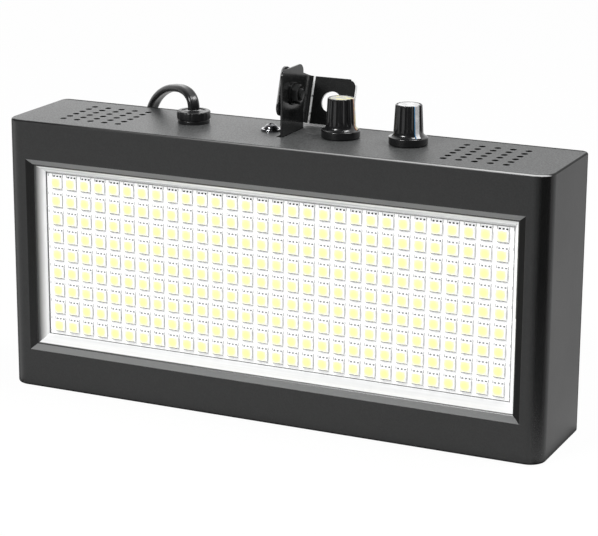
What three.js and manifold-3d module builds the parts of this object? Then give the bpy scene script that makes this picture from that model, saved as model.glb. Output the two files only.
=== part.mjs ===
// A small box strobe light: LED board behind a bevelled front frame, two knobs, a tilting hanger and a mains
// cord on the top. Millimetres, +Z up, front towards -Y. The origin is the middle of the underside.
import * as THREE from "three";
import { mergeVertices } from "three/addons/utils/BufferGeometryUtils.js";
import Module from "manifold-3d";

const wasm = await Module();
wasm.setup();

// Clearances and cuts
const gap = 0.3; // between neighbouring pieces
const overrun = 1; // how far a cut runs past the face that it opens
const weld = 1e-4; // points closer than this are one
const fullTurn = Math.PI * 2;
const quarterTurn = Math.PI / 2;
const nutSides = 6;

// The grid of LED packages sets the size of the whole light
const led = { columns: 30, rows: 9, pitchX: 7, pitchZ: 8, side: 5, height: 1.6 };
const board = { thickness: 1.6, corner: 1.6, marginX: 2.75, marginZ: 1.7, hiddenX: 12, hiddenZ: 2.8 };
board.shownWidth = (led.columns - 1) * led.pitchX + led.side + 2 * board.marginX;
board.shownHeight = (led.rows - 1) * led.pitchZ + led.side + 2 * board.marginZ;
board.width = board.shownWidth + 2 * board.hiddenX;
board.height = board.shownHeight + 2 * board.hiddenZ;

// The pale frame that slopes from the front wall back to the board
const reflector = { leanX: 3.3, leanZ: 3.8, depth: 5.2, wall: 1.5 };
reflector.frontWidth = board.shownWidth + 2 * reflector.leanX;
reflector.frontHeight = board.shownHeight + 2 * reflector.leanZ;

// The housing, with the border of its front frame round a bevelled window
const frame = { side: 9.6, top: 16.85, bevelX: 2.85, bevelZ: 2.65, wall: 2 };
frame.windowWidth = reflector.frontWidth + 2 * frame.bevelX;
frame.windowHeight = reflector.frontHeight + 2 * frame.bevelZ;
const housing = { depth: 50, wall: 2, frontCorner: 7.2, backCorner: 3.6, edgeRound: 1, cornerSteps: 5, edgeSteps: 2 };
housing.width = frame.windowWidth + 2 * frame.side;
housing.height = frame.windowHeight + 2 * frame.top;
const frontY = -housing.depth / 2;
const backY = housing.depth / 2;
const middleZ = housing.height / 2;
const topZ = housing.height;
const boardFrontY = frontY + frame.wall + reflector.depth;
const boardBackY = boardFrontY + board.thickness;

// Vent holes through the top, a field on each side
const vent = { columns: 5, rows: 6, pitchX: 6.65, pitchY: 5.4, radius: 1.25, fromSide: 22.2, sides: 6 };

// The back opening and the cover that lies in it, on four ribbed bosses
const rear = { border: 9.5, borderZ: 5, cornerRadius: 3, cover: 2, bossInset: 4.25, rib: 1.6, steps: 3 };
rear.recessWidth = housing.width - 2 * rear.border;
rear.recessHeight = housing.height - 2 * rear.borderZ;

// Screws: head, shank and the bosses that take them
const pan = { headRadius: 2.8, headHeight: 2, shankRadius: 1.45, sides: 8 };
const rearScrew = { ...pan, length: 10, bossRadius: 3.5, bossLength: 10, endWall: 1.5 };
const boardScrew = { ...pan, length: 6, bossRadius: 3, inset: 2.8, height: 30, endWall: 0.4 };
const driverScrew = { ...pan, length: 5, postRadius: 3, postLength: 5, inset: 4.5, endWall: 0.5 };

// Places along the line of fittings on the top
const fittingLineY = 3.8;
const bush = {
  x: -46.5,
  ringRadius: 7.15,
  ringHeight: 1.6,
  capRadius: 7.5,
  capHeight: 3.6,
  capEdge: 0.5,
  shankRadius: 5.8,
  barbRadius: 6.5,
  barbHeight: 1.4,
  tail: 1.6,
  sides: 18,
};

// The two controls
const knob = {
  clear: 0.3,
  height: 16.4,
  skirtRadius: 8.1,
  skirtBand: 3.2,
  skirtEdge: 0.4,
  coneHeight: 2.1,
  neckRadius: 6.4,
  footRadius: 6.1,
  headRadius: 5.5,
  flutes: 16,
  fluteDepth: 0.45,
  recessRadius: 6.8,
  recessDepth: 2.8,
  boreDepth: 13.4,
  sides: 24,
};
const knobCap = { radius: 4.5, thickness: 0.8, barWidth: 2.2, barDepth: 0.7, barFoot: 1.6, sides: 24 };
const pot = {
  canRadius: 8.4,
  canHeight: 9,
  bushRadius: 4,
  bushRise: 4.2,
  shaftRadius: 3,
  shaftInCan: 5,
  washerRadius: 6.3,
  washer: 0.5,
  nutRadius: 6.2,
  nut: 2,
  tagWidth: 1.6,
  tagThickness: 0.6,
  tagLength: 5,
  tagPitch: 4,
  tags: 3,
  sides: 16,
};
const speedKnob = { x: 21.7, pointer: THREE.MathUtils.degToRad(9.7) };
const soundKnob = { x: 51.8, pointer: THREE.MathUtils.degToRad(-33.2) };

// The hanger: an ear that stands through the top, and a bent arm that tilts on it
const hanger = {
  sheet: 1,
  earWidth: 21,
  earRise: 27.7,
  earCorner: 3.5,
  bendRadius: 1.5,
  footReach: 17,
  screwX: -10,
  pivotRise: 16.5,
  tilt: THREE.MathUtils.degToRad(-18.3),
  armHeight: 20.6,
  armAhead: 10,
  armBehind: 19.9,
  armReach: 19.7,
  armCorner: 3.6,
  holeRadius: 4.5,
  holeX: 9.2,
  steps: 4,
  holeSides: 24,
};
const earFrontY = fittingLineY - hanger.earWidth / 2;
const pivotZ = topZ + hanger.pivotRise;
const earBackX = -hanger.sheet;
const armInnerX = earBackX - gap;
const armOuterX = armInnerX - hanger.sheet;
const pivot = {
  radius: 2.5,
  headRadius: 4.4,
  headHeight: 2.4,
  washerRadius: 4.8,
  washer: 0.8,
  nutRadius: 4.3,
  nut: 2.6,
  end: 1,
  sides: 16,
};
const footScrew = { headRadius: 4.3, rim: 0.8, domeRadius: 3.2, headHeight: 3, shankRadius: 1.9, length: 8 };
const footNut = { radius: 4, thickness: 3.2 };

// The driver board on the inside of the cover, and what it carries
const driver = { width: 96, height: 62, thickness: 1.6, x: 0, z: 60 };
driver.backY = backY - rear.cover - driverScrew.postLength;
driver.frontY = driver.backY - driver.thickness;
const smoothing = { radius: 8, height: 24, sides: 14, acrossShare: -0.1, upShare: -0.26 };
const timing = { radius: 3.2, height: 11, sides: 10, acrossShare: 0.31, upShare: 0.32 };
const fuse = {
  radius: 2.6,
  length: 20,
  capLength: 5,
  glassRadius: 2.4,
  sides: 10,
  acrossShare: -0.35,
  upShare: 0.03,
};
const rectifier = { width: 16, height: 12, depth: 4, corner: 2.5, acrossShare: -0.32, upShare: -0.24 };
const terminal = {
  width: 16,
  height: 9,
  depth: 11,
  wells: 3,
  wellRadius: 1.7,
  wellDepth: 3,
  acrossShare: -0.32,
  upShare: 0.27,
};
const chip = {
  width: 19,
  height: 6.4,
  depth: 3.4,
  notchRadius: 1,
  sides: 10,
  acrossShare: 0.08,
  upShare: 0.29,
};
const transformer = {
  width: 20,
  height: 17,
  depth: 14,
  leg: 4.5,
  yoke: 3.4,
  window: 4.2,
  acrossShare: 0.155,
  upShare: -0.16,
};
const transistor = {
  width: 10,
  height: 15,
  thickness: 4.4,
  tab: 5.5,
  tabThickness: 1.3,
  acrossShare: 0.4,
  upShare: -0.21,
};
const sink = { width: 18, height: 18, base: 2, fins: 5, finDepth: 9, finThickness: 1.2 };
const mic = {
  radius: 4.85,
  height: 6.7,
  faceRadius: 3.6,
  faceDepth: 0.5,
  sides: 16,
  acrossShare: 0.415,
  upShare: 0.24,
};
for (const part of [smoothing, timing, fuse, rectifier, terminal, chip, transformer, transistor, mic]) {
  part.x = driver.x + part.acrossShare * driver.width;
  part.z = driver.z + part.upShare * driver.height;
}

// The flat twin mains cord
const cord = { width: 5.2, thickness: 3.2, round: 1.2, step: 12 };
const coil = { loops: 6.5, meanRadius: 28, side: 0.5, stack: 0.5, dip: 2.4, stepsPerLoop: 24, y: 65, x: -50 };
coil.pitch = cord.thickness + coil.side;
coil.layer = cord.width + coil.stack;
coil.outerRadius = coil.meanRadius + (coil.loops * coil.pitch) / 4;
coil.innerRadius = coil.meanRadius - (coil.loops * coil.pitch) / 4;
const climbShare = 0.2; // of a loop, each side of the turning point
const dipShare = 0.35;
const tie = { strap: 0.8, width: 4, spare: 0.2, corner: 1.6, headWidth: 5, headHeight: 2, headLength: 6 };
coil.lowZ = tie.strap + gap + cord.width / 2;
coil.highZ = coil.lowZ + coil.layer;
const plug = {
  x: 24,
  y: 40,
  thickness: 13.7,
  width: 26,
  waist: 18,
  length: 34,
  shoulderShare: 0.45,
  corner: 1.5,
  bootLength: 18,
  bootStart: 3.6,
  bootEnd: 5.6,
  pinRadius: 2,
  pinLength: 19,
  pinSpacing: 19,
  pinSeat: 4,
  sides: 12,
};
const bushTopZ = topZ + bush.ringHeight + bush.capHeight;
const cordDownX = coil.x - coil.outerRadius;

// Route of the cord from the bush over the back edge and down to its coil, chosen point by point
const cordRoute = [
  [-46.5, 3.8, 124.5],
  [-46.5, 3.8, 126.0],
  [-47.5, 4.6, 128.6],
  [-50.4, 6.8, 130.7],
  [-55.0, 10.2, 131.5],
  [-60.1, 14.0, 130.9],
  [-64.5, 17.3, 129.8],
  [-68.9, 20.6, 127.9],
  [-73.1, 23.8, 125.3],
  [-77.0, 26.8, 121.9],
  [-80.3, 29.2, 117.2],
  [-82.6, 31.0, 110.5],
  [-83.7, 31.5, 101],
  [-84.0, 31.1, 88],
  [-84.0, 30.3, 70],
  [-84.0, 29.6, 52],
  [-84.0, 29.4, 36],
  [-84.0, 29.8, 23],
  [-84.0, 32.3, 13.0],
  [-84.0, 38.0, 6.0],
  [-84.0, 46.0, 3.2],
  [-84.0, 53.0, 3.5],
];
const tailRoute = [
  [-16.0, 54.0, 9.3],
  [-14.7, 48.2, 9.0],
  [-10.8, 43.2, 8.4],
  [-5.0, 40.4, 7.6],
  [0.6, 40.0, 7.0],
];
const archAcross = 0.6; // the arch's wide side faces this way across the top
const archAlong = 0.8;
const turnedShare = 0.93; // of the cord's free length, where it has turned on edge
const flatShare = 0.8; // of the same length, up to which it lies flat
const hangShare = 0.4; // of the same length, up to which it keeps the arch's facing
const tailEdgeShare = 0.2; // of the tail's length, up to which it stays on edge
const tailTurnedShare = 0.93; // of the same length, where it has turned for the plug

// Finishes
const finishes = {
  housing: [0x2f3030, 0.62, 0],
  cover: [0x262727, 0.7, 0],
  reflector: [0xe4e6e6, 0.35, 0],
  boardWhite: [0xf2f3ee, 0.5, 0],
  boardGreen: [0x2c5a34, 0.6, 0],
  steel: [0xa9acb0, 0.35, 1],
  brass: [0xb59a55, 0.4, 1],
  blackSteel: [0x17181a, 0.22, 0.6],
  knob: [0x1a1b1c, 0.5, 0],
  paleCap: [0xe9e9e4, 0.5, 0],
  cord: [0x141515, 0.45, 0],
  can: [0x8d9197, 0.4, 0.9],
  sleeve: [0x20242c, 0.5, 0],
  resin: [0x1c1d1e, 0.6, 0],
  ferrite: [0x3a3b3d, 0.8, 0],
  yellowTape: [0xd9b431, 0.6, 0],
  glass: [0xcfd8d8, 0.1, 0],
  terminalGreen: [0x2f7d4c, 0.5, 0],
  aluminium: [0xb9bcc0, 0.45, 1],
  red: [0xb3261e, 0.5, 0],
  black: [0x1b1b1b, 0.5, 0],
  brown: [0x6b4226, 0.5, 0],
  blue: [0x2b4f9c, 0.5, 0],
};

// A closed three.js geometry as a solid that can be joined and cut
function solid(geometry) {
  const bare = new THREE.BufferGeometry().setAttribute("position", geometry.getAttribute("position"));
  if (geometry.index) bare.setIndex(geometry.index);
  const merged = mergeVertices(bare, weld);
  const triangles = [];
  const index = merged.index.array;
  for (let i = 0; i < index.length; i += 3) {
    const [a, b, c] = [index[i], index[i + 1], index[i + 2]];
    if (a !== b && b !== c && c !== a) triangles.push(a, b, c);
  }
  const vertProperties = new Float32Array(merged.attributes.position.array);
  return new wasm.Manifold(
    new wasm.Mesh({ numProp: 3, vertProperties, triVerts: new Uint32Array(triangles) }),
  );
}

// A solid back as a geometry with flat faces
function geometryOf(body) {
  const { vertProperties, triVerts } = body.getMesh();
  const indexed = new THREE.BufferGeometry();
  indexed.setAttribute("position", new THREE.BufferAttribute(new Float32Array(vertProperties), 3));
  indexed.setIndex(new THREE.BufferAttribute(new Uint32Array(triVerts), 1));
  const flat = indexed.toNonIndexed();
  flat.computeVertexNormals();
  return flat;
}

const join = (first, ...others) => others.reduce((sum, body) => sum.add(body), first);
const cut = (first, ...tools) => tools.reduce((rest, tool) => rest.subtract(tool), first);

// A box between two values on each axis
function block(x0, x1, y0, y1, z0, z1) {
  const box = new THREE.BoxGeometry(x1 - x0, y1 - y0, z1 - z0);
  return solid(box.translate((x0 + x1) / 2, (y0 + y1) / 2, (z0 + z1) / 2));
}

// A round bar along Z between two heights
function bar(radius, z0, z1, sides, x = 0, y = 0) {
  const cylinder = new THREE.CylinderGeometry(radius, radius, z1 - z0, sides);
  return solid(cylinder.rotateX(quarterTurn).translate(x, y, (z0 + z1) / 2));
}

// A round bar along Y between two depths
function barY(radius, y0, y1, sides, x, z) {
  const cylinder = new THREE.CylinderGeometry(radius, radius, y1 - y0, sides);
  return solid(cylinder.translate(x, (y0 + y1) / 2, z));
}

// A round bar along X between two places
function barX(radius, x0, x1, sides, y, z) {
  const cylinder = new THREE.CylinderGeometry(radius, radius, x1 - x0, sides);
  return solid(cylinder.rotateZ(quarterTurn).translate((x0 + x1) / 2, y, z));
}

// A profile of radius and height, revolved about Z
function revolve(profile, sides) {
  const points = profile.map(([radius, z]) => new THREE.Vector2(radius, z));
  return solid(new THREE.LatheGeometry(points, sides).rotateX(quarterTurn));
}

// A rectangle with round corners, centred: one radius, or one for its +Y corners and one for the others
function roundedRectangle(width, height, radius, steps, lowRadius = radius) {
  const points = [];
  const corners = [
    [1, 1],
    [-1, 1],
    [-1, -1],
    [1, -1],
  ];
  corners.forEach(([sx, sy], quarter) => {
    const bend = sy > 0 ? radius : lowRadius;
    for (let i = 0; i <= steps; i += 1) {
      const angle = (quarter + i / steps) * quarterTurn;
      const x = sx * (width / 2 - bend) + bend * Math.cos(angle);
      const y = sy * (height / 2 - bend) + bend * Math.sin(angle);
      points.push(new THREE.Vector2(x, y));
    }
  });
  return new THREE.Shape(points);
}

// A shape drawn across X and Z, made thick from one depth to another
function plateY(shape, y0, y1, x = 0, z = 0) {
  const plate = new THREE.ExtrudeGeometry(shape, { depth: y1 - y0, bevelEnabled: false });
  return solid(plate.rotateX(quarterTurn).translate(x, y1, z));
}

// A shape drawn across X and Y, made thick from one height to another
function plateZ(shape, z0, z1, x = 0, y = 0) {
  const plate = new THREE.ExtrudeGeometry(shape, { depth: z1 - z0, bevelEnabled: false });
  return solid(plate.translate(x, y, z0));
}

// A shape drawn across Y and Z, made thick from one place along X to another
function plateX(shape, x0, x1) {
  const plate = new THREE.ExtrudeGeometry(shape, { depth: x1 - x0, bevelEnabled: false });
  const turned = new THREE.Matrix4().makeBasis(
    new THREE.Vector3(0, 1, 0),
    new THREE.Vector3(0, 0, 1),
    new THREE.Vector3(1, 0, 0),
  );
  return solid(plate.applyMatrix4(turned).translate(x0, 0, 0));
}

// A four-sided block along Y whose width and height change evenly from one depth to another
function taperedBlock(y0, width0, height0, y1, width1, height1) {
  const box = new THREE.BoxGeometry(1, y1 - y0, 1);
  const place = box.getAttribute("position");
  for (let i = 0; i < place.count; i += 1) {
    const front = place.getY(i) < 0;
    place.setX(i, place.getX(i) * (front ? width0 : width1));
    place.setZ(i, place.getZ(i) * (front ? height0 : height1));
  }
  return solid(box.translate(0, (y0 + y1) / 2, middleZ));
}

// The same block, run on past both of its ends along the same slopes
function taperedCut(y0, width0, height0, y1, width1, height1) {
  const run = overrun / (y1 - y0);
  const before = [width0 + (width0 - width1) * run, height0 + (height0 - height1) * run];
  const after = [width1 - (width0 - width1) * run, height1 - (height0 - height1) * run];
  return taperedBlock(y0 - overrun, ...before, y1 + overrun, ...after);
}

// A pan-head screw along +Z: its head stands on z = 0 and its shank goes down
function panScrew(size) {
  const { headRadius, headHeight, shankRadius, length, sides } = size;
  return revolve(
    [
      [0, -length],
      [shankRadius, -length],
      [shankRadius, 0],
      [headRadius, 0],
      [headRadius, headHeight / 2],
      [headRadius / 2, headHeight],
      [0, headHeight],
    ],
    sides,
  );
}

// A hexagon nut or a washer: a ring along Z
function ring(outer, inner, z0, z1, sides, boreSides) {
  return cut(bar(outer, z0, z1, sides), bar(inner, z0 - overrun, z1 + overrun, boreSides));
}

const housingPlan = (inset) =>
  roundedRectangle(
    housing.width - 2 * inset,
    housing.depth - 2 * inset,
    housing.backCorner - inset,
    housing.cornerSteps,
    housing.frontCorner - inset,
  );

const corners = [
  [-1, 1],
  [1, 1],
  [1, -1],
  [-1, -1],
];
const rearScrewPlaces = corners.map(([sx, sz]) => [
  sx * (rear.recessWidth / 2 - rear.bossInset),
  middleZ + sz * (rear.recessHeight / 2 - rear.bossInset),
]);
const boardScrewPlaces = corners.map(([sx, sz]) => [
  sx * (board.width / 2 - boardScrew.inset),
  middleZ + sz * boardScrew.height,
]);
const driverScrewPlaces = corners.map(([sx, sz]) => [
  driver.x + sx * (driver.width / 2 - driverScrew.inset),
  driver.z + sz * (driver.height / 2 - driverScrew.inset),
]);

function ventPlaces() {
  const places = [];
  for (const side of [-1, 1]) {
    for (let column = 0; column < vent.columns; column += 1) {
      for (let row = 0; row < vent.rows; row += 1) {
        const x = side * (housing.width / 2 - vent.fromSide - column * vent.pitchX);
        const y = (row - (vent.rows - 1) / 2) * vent.pitchY;
        places.push([x, y]);
      }
    }
  }
  return places;
}

// Every hole through the top wall, as tools that cut it
function topHoles() {
  const low = topZ - housing.wall - overrun;
  const high = topZ + overrun;
  const vents = ventPlaces().map(([x, y]) => bar(vent.radius, low, high, vent.sides, x, y));
  const round = [
    bar(bush.shankRadius + gap, low, high, bush.sides, bush.x, fittingLineY),
    bar(pot.bushRadius + gap, low, high, pot.sides, speedKnob.x, fittingLineY),
    bar(pot.bushRadius + gap, low, high, pot.sides, soundKnob.x, fittingLineY),
    bar(footScrew.shankRadius + gap, low, high, pan.sides, hanger.screwX, fittingLineY),
  ];
  const slotX = earBackX - hanger.bendRadius - gap;
  const slot = block(slotX, gap, earFrontY - gap, earFrontY + hanger.earWidth + gap, low, high);
  return [...vents, ...round, slot];
}

// A boss behind a corner of the cover, with a rib to the side wall and one to the top or bottom wall
function rearBoss(x, z) {
  const { bossRadius, bossLength } = rearScrew;
  const [y0, y1] = [backY - rear.cover - bossLength, backY - rear.cover];
  const half = rear.rib / 2;
  const sideX = Math.sign(x) * (housing.width / 2 - housing.wall / 2);
  const wallZ = z < middleZ ? housing.wall / 2 : topZ - housing.wall / 2;
  const across = block(Math.min(x, sideX), Math.max(x, sideX), y0, y1, z - half, z + half);
  const up = block(x - half, x + half, y0, y1, Math.min(z, wallZ), Math.max(z, wallZ));
  return join(barY(bossRadius, y0, y1, pan.sides, x, z), across, up);
}

function housingShell() {
  const round = housing.edgeRound;
  const rounded = new THREE.ExtrudeGeometry(housingPlan(round), {
    depth: housing.height - 2 * round,
    bevelSize: round,
    bevelThickness: round,
    bevelSegments: housing.edgeSteps,
  });
  const outside = solid(rounded.translate(0, 0, round));
  const { wall } = housing;
  const insideDepth = housing.depth - frame.wall - rear.cover;
  const insidePlan = roundedRectangle(
    housing.width - 2 * wall,
    insideDepth,
    housing.backCorner - wall,
    housing.cornerSteps,
    housing.frontCorner - wall,
  );
  const insideY = frontY + frame.wall + insideDepth / 2;
  const inside = plateZ(insidePlan, wall, topZ - wall, 0, insideY);
  const window = taperedCut(
    frontY,
    frame.windowWidth,
    frame.windowHeight,
    frontY + frame.wall,
    reflector.frontWidth,
    reflector.frontHeight,
  );
  const { recessWidth, recessHeight, cornerRadius, steps, cover } = rear;
  const openPlan = roundedRectangle(recessWidth, recessHeight, cornerRadius, steps);
  const opening = plateY(openPlan, backY - cover - overrun, backY + overrun, 0, middleZ);
  let shell = cut(outside, inside, window, opening);
  const holeEnd = backY - cover - rearScrew.bossLength + rearScrew.endWall;
  for (const [x, z] of rearScrewPlaces) {
    const hole = barY(pan.shankRadius + gap, holeEnd, backY, pan.sides, x, z);
    shell = cut(join(shell, rearBoss(x, z).intersect(outside)), hole);
  }
  const bossFrontY = frontY + frame.wall;
  for (const [x, z] of boardScrewPlaces) {
    const boss = barY(boardScrew.bossRadius, bossFrontY, boardFrontY, pan.sides, x, z);
    const hole = barY(
      pan.shankRadius + gap,
      bossFrontY + boardScrew.endWall,
      boardFrontY + overrun,
      pan.sides,
      x,
      z,
    );
    shell = cut(join(shell, boss), hole);
  }
  return cut(shell, ...topHoles());
}

function reflectorFrame() {
  const y0 = frontY + frame.wall;
  const { frontWidth, frontHeight, wall } = reflector;
  const { shownWidth, shownHeight } = board;
  const outer = taperedBlock(
    y0,
    frontWidth + 2 * wall,
    frontHeight + 2 * wall,
    boardFrontY,
    shownWidth + 2 * wall,
    shownHeight + 2 * wall,
  );
  return cut(outer, taperedCut(y0, frontWidth, frontHeight, boardFrontY, shownWidth, shownHeight));
}

// The LED board, its packages soldered on in rows and columns
function ledBoard() {
  const { columns, rows, pitchX, pitchZ, side, height } = led;
  const plate = roundedRectangle(board.width, board.height, board.corner, 1);
  let body = plateY(plate, boardFrontY, boardBackY, 0, middleZ);
  const faceY = boardFrontY - height;
  const row = [];
  for (let column = 0; column < columns; column += 1) {
    const x = (column - (columns - 1) / 2) * pitchX;
    row.push([x - side / 2, x + side / 2]);
  }
  for (let line = 0; line < rows; line += 1) {
    const z = middleZ + (line - (rows - 1) / 2) * pitchZ;
    const strip = row.map(([x0, x1]) => block(x0, x1, faceY, boardFrontY, z - side / 2, z + side / 2));
    body = join(body, ...strip);
  }
  const reach = board.thickness + overrun;
  const holes = boardScrewPlaces.map(([x, z]) =>
    barY(pan.shankRadius + gap, boardBackY - reach, boardBackY + overrun, pan.sides, x, z),
  );
  return cut(body, ...holes);
}

function backCover() {
  const { recessWidth, recessHeight, cornerRadius, steps, cover } = rear;
  const plan = roundedRectangle(recessWidth - 2 * gap, recessHeight - 2 * gap, cornerRadius - gap, steps);
  const innerY = backY - cover;
  let body = plateY(plan, innerY, backY, 0, middleZ);
  for (const [x, z] of driverScrewPlaces) {
    const post = barY(driverScrew.postRadius, driver.backY, innerY, pan.sides, x, z);
    const holeEnd = backY - driverScrew.endWall;
    const hole = barY(pan.shankRadius + gap, driver.backY - overrun, holeEnd, pan.sides, x, z);
    body = cut(join(body, post), hole);
  }
  const holes = rearScrewPlaces.map(([x, z]) =>
    barY(pan.shankRadius + gap, innerY - overrun, backY + overrun, pan.sides, x, z),
  );
  return cut(body, ...holes);
}

function driverBoard() {
  const { width, height, x, z } = driver;
  const plan = roundedRectangle(width, height, board.corner, 1);
  const holes = driverScrewPlaces.map(([holeX, holeZ]) =>
    barY(pan.shankRadius + gap, driver.frontY - overrun, driver.backY + overrun, pan.sides, holeX, holeZ),
  );
  return cut(plateY(plan, driver.frontY, driver.backY, x, z), ...holes);
}

// What stands on the driver board faces the front, from its root plane forwards
const rootY = driver.frontY;
const onDriver = (x, z, width, height, depth) =>
  block(x - width / 2, x + width / 2, rootY - depth, rootY, z - height / 2, z + height / 2);

function canCapacitor({ x, z, radius, height, sides }) {
  const crimp = radius / 8;
  const body = revolve(
    [
      [0, 0],
      [radius, 0],
      [radius, radius / 4],
      [radius - crimp, radius / 4 + crimp],
      [radius, radius / 4 + 2 * crimp],
      [radius, height - crimp],
      [radius - crimp, height],
      [0, height],
    ],
    sides,
  );
  return body.rotate([90, 0, 0]).translate([x, rootY, z]);
}

function fuseBody() {
  const { x, z, radius, length, capLength, glassRadius, sides } = fuse;
  const y = rootY - gap - radius;
  const glass = barX(glassRadius, x - length / 2, x + length / 2, sides, y, z);
  const left = barX(radius, x - length / 2, x - length / 2 + capLength, sides, y, z);
  const right = barX(radius, x + length / 2 - capLength, x + length / 2, sides, y, z);
  return join(glass, left, right);
}

function rectifierBody() {
  const { x, z, width, height, depth, corner } = rectifier;
  const outline = new THREE.Shape([
    new THREE.Vector2(-width / 2, -height / 2),
    new THREE.Vector2(width / 2, -height / 2),
    new THREE.Vector2(width / 2, height / 2),
    new THREE.Vector2(-width / 2 + corner, height / 2),
    new THREE.Vector2(-width / 2, height / 2 - corner),
  ]);
  return plateY(outline, rootY - depth, rootY, x, z);
}

function terminalBlock() {
  const { x, z, width, height, depth, wells, wellRadius, wellDepth } = terminal;
  const faceY = rootY - depth;
  const holes = [];
  for (let i = 0; i < wells; i += 1) {
    const wellX = x + ((i - (wells - 1) / 2) * width) / wells;
    holes.push(barY(wellRadius, faceY - overrun, faceY + wellDepth, pan.sides, wellX, z));
  }
  return cut(onDriver(x, z, width, height, depth), ...holes);
}

function controlChip() {
  const { x, z, width, height, depth, notchRadius, sides } = chip;
  const faceY = rootY - depth;
  const notch = barY(notchRadius, faceY - overrun, faceY + notchRadius, sides, x - width / 2, z);
  return cut(onDriver(x, z, width, height, depth), notch);
}

// Two E-shaped halves as one core: outer legs, yokes and the leg through the winding
function transformerCore() {
  const { x, z, width, height, depth, leg, yoke, window } = transformer;
  const inner = leg / 2;
  const [z0, z1] = [z - height / 2 + yoke, z + height / 2 - yoke];
  const windows = [-1, 1].map((side) => {
    const near = x + side * inner;
    const far = x + side * (inner + window);
    const [x0, x1] = [Math.min(near, far), Math.max(near, far)];
    return block(x0, x1, rootY - depth - overrun, rootY + overrun, z0, z1);
  });
  return cut(onDriver(x, z, width, height, depth), ...windows);
}

function transformerWinding() {
  const { x, z, height, depth, leg, yoke, window } = transformer;
  const innerX = leg / 2 + gap;
  const outerX = leg / 2 + window - gap;
  const [z0, z1] = [z - height / 2 + yoke + gap, z + height / 2 - yoke - gap];
  const proud = window - 2 * gap;
  const outer = block(x - outerX, x + outerX, rootY - depth - proud - gap, rootY - gap, z0, z1);
  const bore = block(x - innerX, x + innerX, rootY - depth - gap, rootY, z0 - overrun, z1 + overrun);
  return cut(outer, bore);
}

const transistorY = rootY - gap;
function powerTransistor() {
  const { x, z, width, height, thickness, tab, tabThickness } = transistor;
  const bottom = z - height / 2;
  const middle = bottom + height - tab;
  const [x0, x1] = [x - width / 2, x + width / 2];
  const body = block(x0, x1, transistorY - thickness, transistorY, bottom, middle);
  const plate = block(x0, x1, transistorY - tabThickness, transistorY, middle, middle + tab);
  const holeZ = middle + tab / 2;
  const hole = barY(pan.shankRadius, transistorY - thickness, transistorY + overrun, pan.sides, x, holeZ);
  return cut(join(body, plate), hole);
}

// The heat sink lies on the transistor's face, with its fins towards the front
function heatSink() {
  const { width, height, base, fins, finDepth, finThickness } = sink;
  const { x, z, thickness } = transistor;
  const y1 = transistorY - thickness - gap;
  const y0 = y1 - base;
  const [z0, z1] = [z - height / 2, z + height / 2];
  let body = block(x - width / 2, x + width / 2, y0, y1, z0, z1);
  for (let i = 0; i < fins; i += 1) {
    const finX = x - width / 2 + (i * (width - finThickness)) / (fins - 1);
    body = join(body, block(finX, finX + finThickness, y0 - finDepth, y0, z0, z1));
  }
  return body;
}

function microphoneBody() {
  const { x, z, radius, height, faceRadius, faceDepth, sides } = mic;
  const faceY = rootY - height;
  const body = barY(radius, faceY, rootY, sides, x, z);
  return cut(body, barY(faceRadius, faceY - overrun, faceY + faceDepth, sides, x, z));
}

// A control on a shaft along Z: can under the top wall, threaded bush through it
const canTopZ = topZ - housing.wall - gap;
function potBody(x) {
  const canLow = canTopZ - pot.canHeight;
  const can = bar(pot.canRadius, canLow, canTopZ, pot.sides);
  const bushing = bar(pot.bushRadius, canTopZ, topZ + pot.bushRise, pot.sides);
  const boreLow = canTopZ - pot.shaftInCan - gap;
  const bore = bar(pot.shaftRadius + gap, boreLow, topZ + pot.bushRise + overrun, pot.sides);
  let body = cut(join(can, bushing), bore);
  for (let i = 0; i < pot.tags; i += 1) {
    const tagX = (i - (pot.tags - 1) / 2) * pot.tagPitch;
    const [x0, x1] = [tagX - pot.tagWidth / 2, tagX + pot.tagWidth / 2];
    const tagTop = canLow + pot.tagThickness;
    body = join(body, block(x0, x1, 0, pot.tagThickness, canLow - pot.tagLength, tagTop));
  }
  return body.translate([x, fittingLineY, 0]);
}

function potWasher(x) {
  const low = topZ;
  const body = ring(pot.washerRadius, pot.bushRadius + gap, low, low + pot.washer, pot.sides, pot.sides);
  return body.translate([x, fittingLineY, 0]);
}

function potNut(x) {
  const low = topZ + pot.washer;
  const body = ring(pot.nutRadius, pot.bushRadius + gap, low, low + pot.nut, nutSides, pot.sides);
  return body.translate([x, fittingLineY, 0]);
}

function potShaft(x) {
  const low = canTopZ - pot.shaftInCan;
  const high = topZ + knob.clear + knob.boreDepth - gap;
  return bar(pot.shaftRadius, low, high, pot.sides, x, fittingLineY);
}

// The fluted grip of a knob, drawn once and tapered towards its head
function flutedGrip(z0, z1) {
  const points = [];
  const perFlute = 3;
  const count = knob.flutes * perFlute;
  for (let i = 0; i < count; i += 1) {
    const angle = (i / count) * fullTurn;
    const inGroove = i % perFlute === 0;
    const radius = knob.footRadius - (inGroove ? knob.fluteDepth : 0);
    points.push(new THREE.Vector2(radius * Math.cos(angle), radius * Math.sin(angle)));
  }
  const grip = new THREE.ExtrudeGeometry(new THREE.Shape(points), { depth: z1 - z0, bevelEnabled: false });
  const place = grip.getAttribute("position");
  const taper = knob.headRadius / knob.footRadius;
  for (let i = 0; i < place.count; i += 1) {
    if (place.getZ(i) > 0) {
      place.setX(i, place.getX(i) * taper);
      place.setY(i, place.getY(i) * taper);
    }
  }
  return solid(grip.translate(0, 0, z0));
}

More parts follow.
